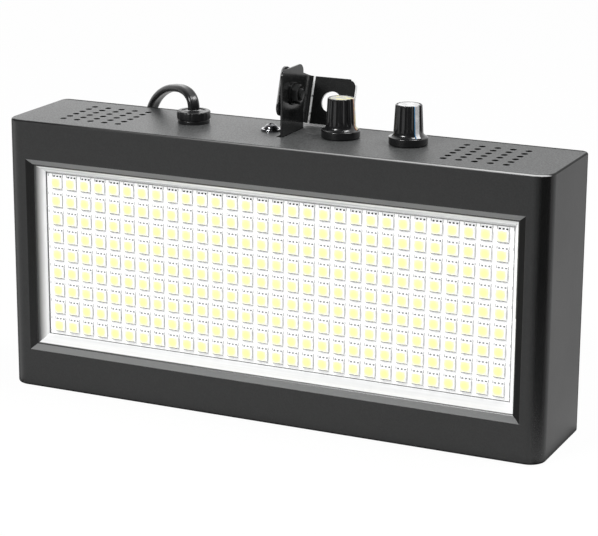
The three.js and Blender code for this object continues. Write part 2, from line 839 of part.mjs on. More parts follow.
// The pale cap: a disc let into the knob's head and a pointer that runs down its side. Room widens it into
// the tool that cuts its seat.
function capBody(room) {
  const headZ = topZ + knob.clear + knob.height;
  const disc = bar(knobCap.radius + room, headZ - knobCap.thickness - room, headZ + room, knobCap.sides);
  const { barWidth, barDepth, barFoot } = knobCap;
  const gripFoot = topZ + knob.clear + knob.skirtBand + knob.coneHeight;
  const side = barWidth / 2 + room;
  const lean = (knob.footRadius - knob.headRadius) / (headZ - gripFoot);
  const outline = (outer) => {
    const footZ = gripFoot - barFoot;
    const atFoot = knob.footRadius + lean * barFoot;
    return new THREE.Shape([
      new THREE.Vector2(atFoot - barDepth - room, footZ - room),
      new THREE.Vector2(atFoot + outer, footZ - room),
      new THREE.Vector2(knob.headRadius + outer, headZ + room),
      new THREE.Vector2(0, headZ + room),
      new THREE.Vector2(0, headZ - knobCap.thickness - room),
      new THREE.Vector2(knob.headRadius - barDepth - room, headZ - knobCap.thickness - room),
    ]);
  };
  const pointer = plateY(outline(room), -side, side);
  return join(disc, pointer);
}

function knobBody() {
  const low = topZ + knob.clear;
  const bandTop = low + knob.skirtBand;
  const coneTop = bandTop + knob.coneHeight;
  const { skirtRadius, skirtEdge, neckRadius } = knob;
  const skirt = revolve(
    [
      [0, low],
      [skirtRadius - skirtEdge, low],
      [skirtRadius, low + skirtEdge],
      [skirtRadius, bandTop - skirtEdge],
      [skirtRadius - skirtEdge, bandTop],
      [neckRadius, coneTop],
      [0, coneTop],
    ],
    knob.sides,
  );
  const grip = flutedGrip(coneTop - knob.skirtBand / 2, low + knob.height);
  const recess = bar(knob.recessRadius, low - overrun, low + knob.recessDepth, knob.sides);
  const pocketTop = topZ + pot.bushRise + gap;
  const pocket = bar(pot.bushRadius + 2 * gap, low, pocketTop, knob.sides);
  const bore = bar(pot.shaftRadius + gap, low, low + knob.boreDepth, pot.sides);
  return cut(join(skirt, grip), recess, pocket, bore, capBody(gap));
}

const turnedTo = (body, control) =>
  body.rotate([0, 0, THREE.MathUtils.radToDeg(control.pointer)]).translate([control.x, fittingLineY, 0]);

function cordBush() {
  const { ringRadius, ringHeight, capRadius, capHeight, capEdge, shankRadius, barbRadius } = bush;
  const under = topZ - housing.wall - gap;
  const barbLow = under - bush.barbHeight;
  return revolve(
    [
      [0, barbLow - bush.tail],
      [shankRadius - capEdge, barbLow - bush.tail],
      [shankRadius, barbLow],
      [barbRadius, under],
      [shankRadius, under],
      [shankRadius, topZ],
      [ringRadius, topZ],
      [ringRadius, topZ + ringHeight],
      [capRadius, topZ + ringHeight],
      [capRadius, bushTopZ - capEdge],
      [capRadius - capEdge, bushTopZ],
      [0, bushTopZ],
    ],
    bush.sides,
  ).translate([bush.x, fittingLineY, 0]);
}

// A bent strip of sheet: two legs at a right angle with a round bend, drawn from its outer corner at 0,0.
// The first leg runs along +v and the second along +u.
function bentStrip(legV, legU, thickness, radius, steps) {
  const points = [new THREE.Vector2(legU, 0), new THREE.Vector2(legU, thickness)];
  const centre = thickness + radius;
  for (let i = 0; i <= steps; i += 1) {
    const angle = -quarterTurn - (i / steps) * quarterTurn;
    points.push(new THREE.Vector2(centre + radius * Math.cos(angle), centre + radius * Math.sin(angle)));
  }
  points.push(new THREE.Vector2(thickness, legV), new THREE.Vector2(0, legV));
  for (let i = 0; i <= steps; i += 1) {
    const angle = Math.PI + (i / steps) * quarterTurn;
    points.push(new THREE.Vector2(centre + centre * Math.cos(angle), centre + centre * Math.sin(angle)));
  }
  return new THREE.Shape(points);
}

// The upright ear, its foot bent away under the top wall
function hangerFoot() {
  const { sheet, earWidth, earRise, earCorner, bendRadius, footReach, steps } = hanger;
  const footZ = topZ - housing.wall - gap - sheet;
  const rise = topZ + earRise - footZ;
  const strip = bentStrip(rise, footReach, sheet, bendRadius, steps);
  const bent = plateY(strip, earFrontY, earFrontY + earWidth)
    .mirror([1, 0, 0])
    .translate([0, 0, footZ]);
  const faceHeight = 2 * rise;
  const face = roundedRectangle(earWidth, faceHeight, earCorner, steps);
  const rounding = plateX(face, -footReach - overrun, overrun);
  const placed = rounding.translate([0, fittingLineY, topZ + earRise - faceHeight / 2]);
  const pivotHole = barX(pivot.radius + gap, earBackX - overrun, overrun, pivot.sides, fittingLineY, pivotZ);
  const screwHole = bar(
    footScrew.shankRadius + gap,
    footZ - overrun,
    footZ + sheet + overrun,
    pan.sides,
    hanger.screwX,
    fittingLineY,
  );
  return cut(bent.intersect(placed), pivotHole, screwHole);
}

function hangerScrew() {
  const { headRadius, rim, domeRadius, headHeight, shankRadius, length } = footScrew;
  return revolve(
    [
      [0, -length],
      [shankRadius, -length],
      [shankRadius, 0],
      [headRadius, 0],
      [headRadius, rim / 2],
      [domeRadius, rim],
      [domeRadius, headHeight / 2],
      [domeRadius / 2, headHeight],
      [0, headHeight],
    ],
    pivot.sides,
  ).translate([hanger.screwX, fittingLineY, topZ]);
}

function hangerNut() {
  const high = topZ - housing.wall - gap - hanger.sheet;
  const body = ring(
    footNut.radius,
    footScrew.shankRadius + gap,
    high - footNut.thickness,
    high,
    nutSides,
    pan.sides,
  );
  return body.translate([hanger.screwX, fittingLineY, 0]);
}

// The arm in its own frame, with the pivot at 0,0 across Y and Z, then tilted and set on the ear
function hangerArm() {
  const { sheet, armHeight, armAhead, armBehind, armReach, armCorner, bendRadius, steps } = hanger;
  const { holeRadius, holeSides, holeX } = hanger;
  const behind = armBehind + sheet / 2;
  const strip = bentStrip(armAhead + behind, armReach - armOuterX, sheet, bendRadius, steps);
  const bent = plateZ(strip, -armHeight / 2, armHeight / 2)
    .mirror([0, 1, 0])
    .translate([armOuterX, behind, 0]);
  const sideLength = 2 * (armAhead + behind);
  const sideFace = plateX(
    roundedRectangle(sideLength, armHeight, armCorner, steps),
    armOuterX - overrun,
    armReach + overrun,
  ).translate([0, sideLength / 2 - armAhead, 0]);
  const rearLength = 2 * (armReach - armOuterX);
  const rearFace = plateY(
    roundedRectangle(rearLength, armHeight, armCorner, steps),
    -armAhead - overrun,
    behind + overrun,
    armReach - rearLength / 2,
    0,
  );
  const pivotHole = barX(pivot.radius + gap, armOuterX - overrun, armInnerX + overrun, pivot.sides, 0, 0);
  const hangHole = barY(holeRadius, armBehind - sheet, behind + overrun, holeSides, holeX, 0);
  return cut(bent.intersect(sideFace).intersect(rearFace), pivotHole, hangHole)
    .rotate([THREE.MathUtils.radToDeg(hanger.tilt), 0, 0])
    .translate([0, fittingLineY, pivotZ]);
}

// Bolt, washer and nut lie along X through the ear and the arm
const alongX = (body, x) => body.rotate([0, 90, 0]).translate([x, fittingLineY, pivotZ]);
function pivotBolt() {
  const { radius, headRadius, headHeight, washer, nut, end, sides } = pivot;
  const length = sheetPair() + gap + washer + nut + end;
  return alongX(
    revolve(
      [
        [0, -headHeight],
        [headRadius / 2, -headHeight],
        [headRadius, -headHeight / 2],
        [headRadius, 0],
        [radius, 0],
        [radius, length - end / 2],
        [radius - end / 2, length],
        [0, length],
      ],
      sides,
    ),
    armOuterX - gap,
  );
}

// From the bolt's head to the outside of the ear
function sheetPair() {
  return -(armOuterX - gap);
}

function pivotWasher() {
  const { washerRadius, washer, radius, sides } = pivot;
  return alongX(ring(washerRadius, radius + gap, 0, washer, sides, sides), 0);
}

function pivotNut() {
  const { nutRadius, radius, washer, nut, sides } = pivot;
  return alongX(ring(nutRadius, radius + gap, 0, nut, nutSides, sides), washer);
}

// A route through chosen points that also says which way the cord's wide side faces along it
class FacedRoute extends THREE.CatmullRomCurve3 {
  constructor(points, facings) {
    super(
      points.map((point) => new THREE.Vector3(...point)),
      false,
      "centripetal",
    );
    this.facings = facings;
  }

  facingAt(share) {
    const next = this.facings.findIndex((facing) => facing.share >= share);
    if (next <= 0) return this.facings[0].wide.clone();
    const [before, after] = [this.facings[next - 1], this.facings[next]];
    const part = (share - before.share) / (after.share - before.share);
    return before.wide.clone().lerp(after.wide, part);
  }

  computeFrenetFrames(steps) {
    const frames = { tangents: [], normals: [], binormals: [] };
    for (let i = 0; i <= steps; i += 1) {
      const tangent = this.getTangentAt(i / steps).normalize();
      const wide = this.facingAt(i / steps);
      wide.addScaledVector(tangent, -wide.dot(tangent)).normalize();
      frames.tangents.push(tangent);
      frames.binormals.push(wide);
      frames.normals.push(new THREE.Vector3().crossVectors(wide, tangent));
    }
    return frames;
  }
}

const facing = (share, x, y, z) => ({ share, wide: new THREE.Vector3(x, y, z).normalize() });

// The flat section of the cord: its thin way along the first axis and its wide way along the second
function cordSection() {
  const [a, b, c] = [cord.thickness / 2, cord.width / 2, cord.round];
  return new THREE.Shape([
    new THREE.Vector2(a, c - b),
    new THREE.Vector2(a, b - c),
    new THREE.Vector2(a - c, b),
    new THREE.Vector2(c - a, b),
    new THREE.Vector2(-a, b - c),
    new THREE.Vector2(-a, c - b),
    new THREE.Vector2(c - a, -b),
    new THREE.Vector2(a - c, -b),
  ]);
}

function freeCord(route) {
  const steps = Math.ceil(route.getLength() / cord.step);
  return solid(new THREE.ExtrudeGeometry(cordSection(), { steps, extrudePath: route }));
}

// From the bush: flat over the edge, flat down the back, then turned on edge for the coil
const coilMouthY = coil.y - cord.width - gap;
const freeRoute = new FacedRoute(
  [...cordRoute, [cordDownX, coilMouthY, coil.lowZ]],
  [
    facing(0, archAcross, archAlong, 0),
    facing(hangShare, archAcross, archAlong, 0),
    facing(flatShare, 1, 0, 0),
    facing(turnedShare, 0, 0, 1),
    facing(1, 0, 0, 1),
  ],
);
const lastRoute = new FacedRoute(
  [
    [coil.x + coil.outerRadius, coilMouthY, coil.highZ],
    ...tailRoute,
    [plug.x - plug.bootLength - gap, plug.y, plug.thickness / 2],
  ],
  [
    facing(0, 0, 0, 1),
    facing(tailEdgeShare, 0, 0, 1),
    facing(tailTurnedShare, 0, -1, 0),
    facing(1, 0, -1, 0),
  ],
);

// The coil's centre line: in on the lower layer and out again on the upper one
function coilPoint(turns) {
  const fromTurning = turns - coil.loops / 2;
  const away = Math.abs(fromTurning);
  const dip = away < dipShare ? coil.dip * Math.cos((away / dipShare) * quarterTurn) ** 2 : 0;
  const radius = coil.innerRadius + coil.pitch * away - dip;
  const climb = THREE.MathUtils.smoothstep(fromTurning, -climbShare, climbShare);
  const angle = Math.PI - turns * fullTurn;
  return { radius, angle, z: coil.lowZ + climb * coil.layer };
}

// The six corners of the cord's section round a centre, its thin way along the radius
function coilRing({ radius, angle, z }, ahead) {
  const [a, b, c] = [cord.thickness / 2, cord.width / 2, cord.round];
  const outline = [
    [a, c - b],
    [a, b - c],
    [0, b],
    [-a, b - c],
    [-a, c - b],
    [0, -b],
  ];
  const outwards = new THREE.Vector3(Math.cos(angle), Math.sin(angle), 0);
  const along = new THREE.Vector3(Math.sin(angle), -Math.cos(angle), 0);
  return outline.map(([thin, wide]) =>
    new THREE.Vector3(coil.x, coil.y, z + wide)
      .addScaledVector(outwards, radius + thin)
      .addScaledVector(along, ahead),
  );
}

function coilRings() {
  const rings = [coilRing(coilPoint(0), -cord.width)];
  const count = coil.loops * coil.stepsPerLoop;
  for (let i = 0; i <= count; i += 1) rings.push(coilRing(coilPoint(i / coil.stepsPerLoop), 0));
  rings.push(coilRing(coilPoint(coil.loops), cord.width));
  return rings;
}

// A closed tube through rings of points
function tubeThrough(rings) {
  const sides = rings[0].length;
  const place = rings.flat().flatMap((point) => point.toArray());
  const faces = [];
  for (let i = 0; i + 1 < rings.length; i += 1) {
    for (let j = 0; j < sides; j += 1) {
      const [a, b] = [i * sides + j, i * sides + ((j + 1) % sides)];
      faces.push(a, b, b + sides, a, b + sides, a + sides);
    }
  }
  const last = (rings.length - 1) * sides;
  for (let j = 1; j + 1 < sides; j += 1) {
    faces.push(0, j + 1, j);
    faces.push(last, last + j, last + j + 1);
  }
  const tube = new THREE.BufferGeometry();
  tube.setAttribute("position", new THREE.BufferAttribute(new Float32Array(place), 3));
  tube.setIndex(faces);
  return solid(tube);
}

// The least gap between two loops of the coil, measured between points of their surfaces
function leastGap(rings) {
  const away = coil.stepsPerLoop / 2;
  const between = 4;
  const samples = rings.map((corner) =>
    corner.flatMap((point, j) => {
      const next = corner[(j + 1) % corner.length];
      return Array.from({ length: between }, (_, k) => point.clone().lerp(next, k / between));
    }),
  );
  let least = Infinity;
  for (let i = 0; i < samples.length; i += 1) {
    for (let j = i + away; j < samples.length; j += 1) {
      for (const a of samples[i]) {
        for (const b of samples[j]) least = Math.min(least, a.distanceTo(b));
      }
    }
  }
  return least;
}

// A strap round the coil's bundle at the side near the housing, with its small lock on top
function cordTie() {
  const bundleRadius = coil.innerRadius + (coil.pitch * coil.loops) / 4 - coil.pitch / 8;
  const halfY = coil.pitch + cord.thickness / 2 + gap + tie.spare;
  const [z0, z1] = [tie.strap, coil.highZ + cord.width / 2 + gap];
  const height = z1 - z0;
  const inner = roundedRectangle(2 * halfY, height, gap, 1);
  const outer = roundedRectangle(2 * (halfY + tie.strap), height + 2 * tie.strap, tie.corner, 2);
  outer.holes.push(inner);
  const y = coil.y - bundleRadius;
  const band = plateX(outer, coil.x - tie.width / 2, coil.x + tie.width / 2).translate([0, y, (z0 + z1) / 2]);
  const lockZ = z1 + tie.strap / 2;
  const lock = block(
    coil.x - tie.headLength / 2,
    coil.x + tie.headLength / 2,
    y - tie.headWidth / 2,
    y + tie.headWidth / 2,
    lockZ,
    lockZ + tie.headHeight,
  );
  return join(band, lock);
}

// A two-pin plug lying on its flat side, its boot towards the cord
function plugBody() {
  const { x, y, thickness, width, waist, length, shoulderShare, corner, bootLength } = plug;
  const shoulder = length * shoulderShare;
  const outline = new THREE.Shape([
    new THREE.Vector2(0, -waist / 2),
    new THREE.Vector2(shoulder, -width / 2 + corner),
    new THREE.Vector2(length - 2 * corner, -width / 2 + corner),
    new THREE.Vector2(length - 2 * corner, width / 2 - corner),
    new THREE.Vector2(shoulder, width / 2 - corner),
    new THREE.Vector2(0, waist / 2),
  ]);
  const body = new THREE.ExtrudeGeometry(outline, {
    depth: thickness - 2 * corner,
    bevelSize: corner,
    bevelThickness: corner,
    bevelSegments: 2,
  }).translate(x + corner, y, corner);
  const middle = thickness / 2;
  const boot = revolve(
    [
      [0, -bootLength],
      [plug.bootStart, -bootLength],
      [plug.bootEnd, 0],
      [plug.bootEnd, length / 2],
      [0, length / 2],
    ],
    plug.sides,
  );
  const seats = [-1, 1].map((side) => plugPinBar(side, plug.pinRadius + gap, overrun));
  return cut(join(solid(body), boot.rotate([0, 90, 0]).translate([x, y, middle])), ...seats);
}

function plugPinBar(side, radius, past) {
  const faceX = plug.x + plug.length;
  const x1 = faceX + (past || plug.pinLength);
  const pinY = plug.y + (side * plug.pinSpacing) / 2;
  return barX(radius, faceX - plug.pinSeat, x1, plug.sides, pinY, plug.thickness / 2);
}

// Inner leads, each a round tube through chosen places
const lead = { radius: 1.1, sides: 6, step: 7 };
function innerLead(points) {
  const route = new THREE.CatmullRomCurve3(points.map((point) => new THREE.Vector3(...point)));
  const section = new THREE.Shape(
    Array.from({ length: lead.sides }, (_, i) => {
      const angle = (i / lead.sides) * fullTurn;
      return new THREE.Vector2(lead.radius * Math.cos(angle), lead.radius * Math.sin(angle));
    }),
  );
  const steps = Math.ceil(route.getLength() / lead.step);
  return solid(new THREE.ExtrudeGeometry(section, { steps, extrudePath: route }));
}

const bushUnderZ = topZ - housing.wall - gap - bush.barbHeight - bush.tail;
const terminalTopZ = terminal.z + terminal.height / 2;
const leadSpread = 2;
function mainsLead(side) {
  const fromX = bush.x + side * leadSpread;
  const toX = terminal.x + side * (terminal.width / 3);
  const toY = rootY - terminal.depth / 2;
  const [fromZ, toZ] = [bushUnderZ - gap, terminalTopZ + gap];
  const drop = fromZ - toZ;
  return innerLead([
    [fromX, fittingLineY, fromZ],
    [fromX, fittingLineY, fromZ - drop / 4],
    [(fromX + toX) / 2, (fittingLineY + toY) / 2, fromZ - drop / 2],
    [toX, toY, toZ + drop / 4],
    [toX, toY, toZ],
  ]);
}

const ledLeadPlace = { beside: 12, from: 3.5, upShare: -0.12, pitch: 2.5, sag: 9 };
function ledLead(side) {
  const edgeX = driver.x - driver.width / 2;
  const fromX = edgeX + ledLeadPlace.from;
  const z = driver.z + ledLeadPlace.upShare * driver.height + side * ledLeadPlace.pitch;
  const [y0, y1] = [rootY - gap, boardBackY + gap];
  const reach = (y0 - y1) / 3;
  const toX = edgeX - ledLeadPlace.beside;
  return innerLead([
    [fromX, y0, z],
    [fromX, y0 - reach, z],
    [(fromX + toX) / 2, (y0 + y1) / 2, z - ledLeadPlace.sag],
    [toX, y1 + reach, z],
    [toX, y1, z],
  ]);
}

// Everything is gathered in one group, each piece a named mesh
const light = new THREE.Group();
function add(name, body, finish) {
  const [color, roughness, metalness] = finishes[finish];
  const mesh = new THREE.Mesh(
    geometryOf(body),
    new THREE.MeshStandardMaterial({ color, roughness, metalness }),
  );
  mesh.name = name;
  light.add(mesh);
}

add("housing_shell", housingShell(), "housing");
add("reflector_frame", reflectorFrame(), "reflector");
add("led_board", ledBoard(), "boardWhite");
add("back_cover", backCover(), "cover");

rearScrewPlaces.forEach(([x, z], i) => {
  const body = panScrew(rearScrew).rotate([-90, 0, 0]).translate([x, backY, z]);
  add(`back_screw_${i + 1}`, body, "steel");
});
boardScrewPlaces.forEach(([x, z], i) => {
  const body = panScrew(boardScrew).rotate([-90, 0, 0]).translate([x, boardBackY, z]);
  add(`board_screw_${i + 1}`, body, "steel");
});
driverScrewPlaces.forEach(([x, z], i) => {
  const body = panScrew(driverScrew).rotate([90, 0, 0]).translate([x, rootY, z]);
  add(`driver_screw_${i + 1}`, body, "steel");
});

add("driver_board", driverBoard(), "boardGreen");
add("smoothing_capacitor", canCapacitor(smoothing), "sleeve");
add("timing_capacitor", canCapacitor(timing), "sleeve");
add("fuse", fuseBody(), "glass");
add("rectifier", rectifierBody(), "resin");
add("terminal_block", terminalBlock(), "terminalGreen");
add("control_chip", controlChip(), "resin");
add("transformer_core", transformerCore(), "ferrite");
add("transformer_winding", transformerWinding(), "yellowTape");
add("power_transistor", powerTransistor(), "resin");
add("heat_sink", heatSink(), "aluminium");
add("microphone", microphoneBody(), "can");

for (const [name, control] of [
  ["speed", speedKnob],
  ["sound", soundKnob],
]) {
  add(`${name}_pot_body`, potBody(control.x), "can");
  add(`${name}_pot_washer`, potWasher(control.x), "steel");
  add(`${name}_pot_nut`, potNut(control.x), "steel");
  add(`${name}_pot_shaft`, potShaft(control.x), "brass");
  add(`${name}_knob`, turnedTo(knobBody(), control), "knob");
  add(`${name}_knob_cap`, turnedTo(capBody(0), control), "paleCap");
}

add("hanger_foot", hangerFoot(), "blackSteel");
add("hanger_screw", hangerScrew(), "steel");
add("hanger_nut", hangerNut(), "steel");
add("hanger_arm", hangerArm(), "blackSteel");
add("pivot_bolt", pivotBolt(), "blackSteel");
add("pivot_washer", pivotWasher(), "blackSteel");
add("pivot_nut", pivotNut(), "blackSteel");

const rings = coilRings();
add("cord_bush", cordBush(), "cord");
add("mains_cord", freeCord(freeRoute), "cord");
add("cord_coil", tubeThrough(rings), "cord");
add("cord_tail", freeCord(lastRoute), "cord");
add("cord_tie", cordTie(), "cord");
add("plug_body", plugBody(), "cord");
add("plug_pin_1", plugPinBar(-1, plug.pinRadius, 0), "brass");
add("plug_pin_2", plugPinBar(1, plug.pinRadius, 0), "brass");

add("mains_lead_live", mainsLead(-1), "brown");
add("mains_lead_neutral", mainsLead(1), "blue");
add("led_lead_plus", ledLead(1), "red");
add("led_lead_minus", ledLead(-1), "black");

const coilLine = rings.map((corner) => corner[1].clone().lerp(corner[4], 1 / 2));
const coilLength = coilLine.slice(1).reduce((sum, point, i) => sum + point.distanceTo(coilLine[i]), 0);
const cordLength = freeRoute.getLength() + coilLength + lastRoute.getLength();
console.log(`coil: least gap to itself ${leastGap(rings).toFixed(2)} mm`);
console.log(`cord: ${cordLength.toFixed(0)} mm long, ${cordDownX.toFixed(1)} mm across at the back`);

export default light;
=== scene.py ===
# %% [markdown]
# # A small strobe light
# The light is a shallow black case, 245 mm wide. Its front is a window onto a white board with 270 LED
# packages, and on its top stand the cord's bush, a bracket to hang it by, and two knobs. This lesson dresses
# the exact frame of that light: each piece that shows is built again with rounded edges and small detail, at
# the place that the frame gives it, and then gets a finish made of nodes.

# %% Load the frame
import math
from functools import partialmethod

import bmesh
import bpy
from mathutils import Matrix, Vector


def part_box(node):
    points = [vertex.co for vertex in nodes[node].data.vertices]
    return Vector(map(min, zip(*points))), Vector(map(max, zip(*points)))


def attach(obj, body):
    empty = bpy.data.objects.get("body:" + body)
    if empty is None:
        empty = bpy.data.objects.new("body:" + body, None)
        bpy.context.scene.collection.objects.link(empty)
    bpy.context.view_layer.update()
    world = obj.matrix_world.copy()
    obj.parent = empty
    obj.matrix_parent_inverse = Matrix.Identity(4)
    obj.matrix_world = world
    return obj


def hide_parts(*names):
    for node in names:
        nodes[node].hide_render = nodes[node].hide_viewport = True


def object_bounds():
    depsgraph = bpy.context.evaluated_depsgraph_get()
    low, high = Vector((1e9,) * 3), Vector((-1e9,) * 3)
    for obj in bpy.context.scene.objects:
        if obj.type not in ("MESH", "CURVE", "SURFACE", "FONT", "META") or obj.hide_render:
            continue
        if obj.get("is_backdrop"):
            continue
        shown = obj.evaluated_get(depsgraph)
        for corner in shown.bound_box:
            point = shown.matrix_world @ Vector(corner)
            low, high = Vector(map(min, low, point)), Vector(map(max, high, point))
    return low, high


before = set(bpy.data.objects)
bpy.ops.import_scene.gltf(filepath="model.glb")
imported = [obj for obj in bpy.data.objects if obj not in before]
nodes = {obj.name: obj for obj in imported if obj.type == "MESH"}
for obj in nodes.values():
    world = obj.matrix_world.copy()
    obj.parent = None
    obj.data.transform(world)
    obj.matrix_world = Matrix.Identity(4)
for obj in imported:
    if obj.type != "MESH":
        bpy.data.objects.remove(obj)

cad_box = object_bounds()
mm = 0.001

# %% [markdown]
# ## The camera
# The grid of LED packages gives the camera away: its lines converge as a long lens about 0.95 m away would
# draw them. Azimuth and elevation say where the camera looks from, and the roll is a third of a degree.

# %% Camera
camera_place = Vector((0.379326, -0.815360, 0.314213))
azimuth, elevation, roll = (math.radians(turn) for turn in (24.665, 15.71, 0.33))
camera_data = bpy.data.cameras.new("camera")
camera_data.lens, camera_data.sensor_width = 133.07, 36
level = Vector((math.cos(azimuth), math.sin(azimuth), 0))
sight = Vector((-math.sin(azimuth), math.cos(azimuth), -math.tan(elevation))).normalized()
right = level * math.cos(roll) + level.cross(sight) * math.sin(roll)
turned = Matrix((right, right.cross(sight), -sight)).transposed().to_4x4()
camera = bpy.data.objects.new("camera", camera_data)
camera.matrix_world = Matrix.Translation(camera_place) @ turned
bpy.context.scene.collection.objects.link(camera)
bpy.context.scene.camera = camera
print("camera:", round((camera_place - Vector((0, 0, 0.06))).length, 3), "m from the light")

# %% [markdown]
# ## Sizes that the frame gives
# Most sizes are read from the boxes of the frame's nodes, so a piece made here sits where its node does.
# What a box can't say, such as the radius of a round edge, is named beside the piece that it belongs to.

# %% Boxes of the frame's nodes
def span(node):
    """A node's lowest and highest corner, and its middle."""
    low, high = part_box(node)
    return low, high, (low + high) / 2


case_low, case_high, case_middle = span("housing_shell")
board_low, board_high, _ = span("led_board")
front_y, back_y, top_z, middle_z = case_low.y, case_high.y, case_high.z, case_middle.z
case_size = case_high - case_low
print("case:", [round(v / mm, 2) for v in case_size], "mm")

# %% [markdown]
# ## Shader sums
# A finish is easier to read as a sum than as a web of nodes. Shade wraps one socket of a node tree. Adding,
# multiplying or comparing two of them makes the Math nodes. A comparison is 1 where it holds, and a | b is
# the larger of both. Shade.node makes any other node.

# %% A class for shader sums
class Shade:
    """One output socket of a material, for use in Python sums."""

    def __init__(self, tree, socket):
        self.tree = tree
        self.socket = socket

    def node(self, kind, settings=None, inputs=None, output=0):
        """A new node: its settings first, then the values or links of its sockets."""
        made = self.tree.nodes.new(kind)
        for name, value in (settings or {}).items():
            setattr(made, name, value)
        for name, value in (inputs or {}).items():
            if isinstance(value, Shade):
                self.tree.links.new(value.socket, made.inputs[name])
            else:
                made.inputs[name].default_value = value
        return Shade(self.tree, made.outputs[output])

    def math(self, operation, *values, clamp=False):
        settings = {"operation": operation, "use_clamp": clamp}
        return self.node("ShaderNodeMath", settings, dict(enumerate((self, *values))))

    def __rsub__(self, other):
        return self.node("ShaderNodeMath", {"operation": "SUBTRACT"}, {0: other, 1: self})

    clamped = partialmethod(math, "ADD", 0.0, clamp=True)
    __add__ = partialmethod(math, "ADD")
    __sub__ = partialmethod(math, "SUBTRACT")
    __mul__ = partialmethod(math, "MULTIPLY")
    __truediv__ = partialmethod(math, "DIVIDE")
    __neg__ = partialmethod(math, "MULTIPLY", -1)
    __abs__ = partialmethod(math, "ABSOLUTE")
    __gt__ = partialmethod(math, "GREATER_THAN")
    __lt__ = partialmethod(math, "LESS_THAN")
    __or__ = partialmethod(math, "MAXIMUM")


def between(first, second, share):
    """A colour between two, mixed by a share that may change over the surface. One number is a grey."""
    ends = []
    for end in (first, second):
        end = (end, end, end) if isinstance(end, float) else end
        ends.append((*end, 1) if isinstance(end, tuple) else end)
    return share.node("ShaderNodeMix", {"data_type": "RGBA"}, {0: share, 6: ends[0], 7: ends[1]}, output=2)


def layered(colour, *layers):
    """A colour with others laid over it in turn, each where its own share says."""
    for tone, share in layers:
        colour = between(colour, tone, share)
    return colour


print("shader sums: ready")

# %% [markdown]
# ## A finish
# Every finish starts from Object coordinates in metres, because each piece's object sits at the origin. What
# is the same all over is set straight on the shader. What changes over the surface comes from a paint
# function.

# %% Helpers for finishes
def finish(name, paint, **constants):
    """A new material. paint takes the Object coordinates and gives what changes over the surface."""
    made = bpy.data.materials.new(name)
    made.use_nodes = True
    tree = made.node_tree
    shader = tree.nodes["Principled BSDF"]
    for socket, value in constants.items():
        shader.inputs[socket.replace("_", " ")].default_value = value
    place = Shade(tree, None).node("ShaderNodeTexCoord", output="Object")
    for socket, value in paint(place).items():
        tree.links.new(value.socket, shader.inputs[socket])
    return made


def noise(place, size, detail=2.0, roughness=0.5, stretch=(1, 1, 1)):
    """Soft noise whose lumps are about so many metres across, stretched along the axes."""
    scaled = place.node("ShaderNodeMapping", {}, {"Vector": place, "Scale": stretch})
    settings = {"Scale": 1 / size, "Detail": detail, "Roughness": roughness}
    return place.node("ShaderNodeTexNoise", {}, {"Vector": scaled, **settings})


def bump(height, depth):
    """A normal from a height that runs from 0 to 1 over so many metres of depth."""
    return height.node("ShaderNodeBump", {}, {"Height": height, "Distance": depth, "Strength": 1.0})


def surface(colour, rough, height, depth):
    """What most paint functions give."""
    return {"Base Color": colour, "Roughness": rough, "Normal": bump(height, depth)}


def parts(vector):
    """The X, Y and Z of a vector."""
    first = vector.node("ShaderNodeSeparateXYZ", {}, {"Vector": vector})
    return [Shade(vector.tree, socket) for socket in first.socket.node.outputs]


def facings(place):
    """How far the surface faces along X, Y and Z of its object, each from -1 to 1."""
    return parts(Shade(place.tree, place.socket.node.outputs["Normal"]))


def rising(value, low, high):
    """0 below low, 1 above high, and a straight slope between them."""
    return ((value - low) / (high - low)).clamped()


def reach(u, v):
    """How far it is from 0, 0 to u, v."""
    return (u * u + v * v).math("SQRT")


print("finish helpers: ready")

# %% [markdown]
# ## The case's finish
# The case is black plastic with a fine spark-eroded grain, which catches the light from above as a grey haze,
# because dust lies in it where it faces up. Each special place is found by position and facing, so that one
# finish does for the whole case. Painted shade makes the front right corner, the rim at the back, the edge
# between the top and the right side, and the inside of the vents nearly black. The top's front edge carries a
# painted highlight, a pale line towards the right, and a painted dark line towards the left. Of the window's
# smooth bevels, the top and bottom ones are painted grey as if lit, and the right one near black as if
# shaded.

# %% Case, cover and knob finishes
window_half = Vector((112.9 * mm, 0, 42.65 * mm))
throat_half = Vector((110.05 * mm, 0, 40 * mm))
frame_depth, right_lip = 2 * mm, 0.45 * mm


def grained(dark, light, grain, depth, smoothest=0.5, roughest=0.62):
    """A paint function for grained plastic."""

    def paint(place):
        fine, coarse, slow = noise(place, grain, 3), noise(place, grain * 3, 2), noise(place, 0.05, 3)
        share = (fine * 0.5 + coarse * 0.2 + slow * 0.3).clamped()
        rough = slow * (roughest - smoothest) + smoothest
        return surface(between(dark, light, share), rough, fine + coarse * 0.6, depth)

    return paint


def front_edge_painted_light(place, edge, upwards, ahead):
    """The rounding between top and front: its painted dark line on the left, its painted highlight, and all
    of it.
    """
    x, y, z = parts(place)
    to_right = rising(x, -0.04, 0.11)
    strip = edge * rising(upwards, 0.25, 0.4) * (y < front_y + 8 * mm) * (z > top_z - 1.2 * mm)
    strip = strip * ((y < front_y + 2 * mm) | (x > case_high.x - 8 * mm))
    painted_crease_line = strip * rising(ahead, 0.1, 0.2) * (1 - to_right)
    line = strip * rising(ahead + to_right * 0.1, 0.5, 0.6) * (1 - rising(ahead, 0.84, 0.9))
    return painted_crease_line, line * (to_right * 0.72 + rising(x, -0.1, -0.03) * 0.2), strip


def window_bevels(place):
    """1 on the window's bevels, and 1 on the half of them that is level."""
    x, y, z = parts(place)
    off_x, off_z = abs(x), abs(z - middle_z)
    bevel = (off_x < window_half.x) * (off_z < window_half.z) * (y < front_y + frame_depth - 0.2 * mm)
    inner_x = (x > 0) * -right_lip + throat_half.x
    share_x = (off_x - inner_x) / (-inner_x + window_half.x)
    return bevel, rising(off_z, throat_half.z, window_half.z) > share_x


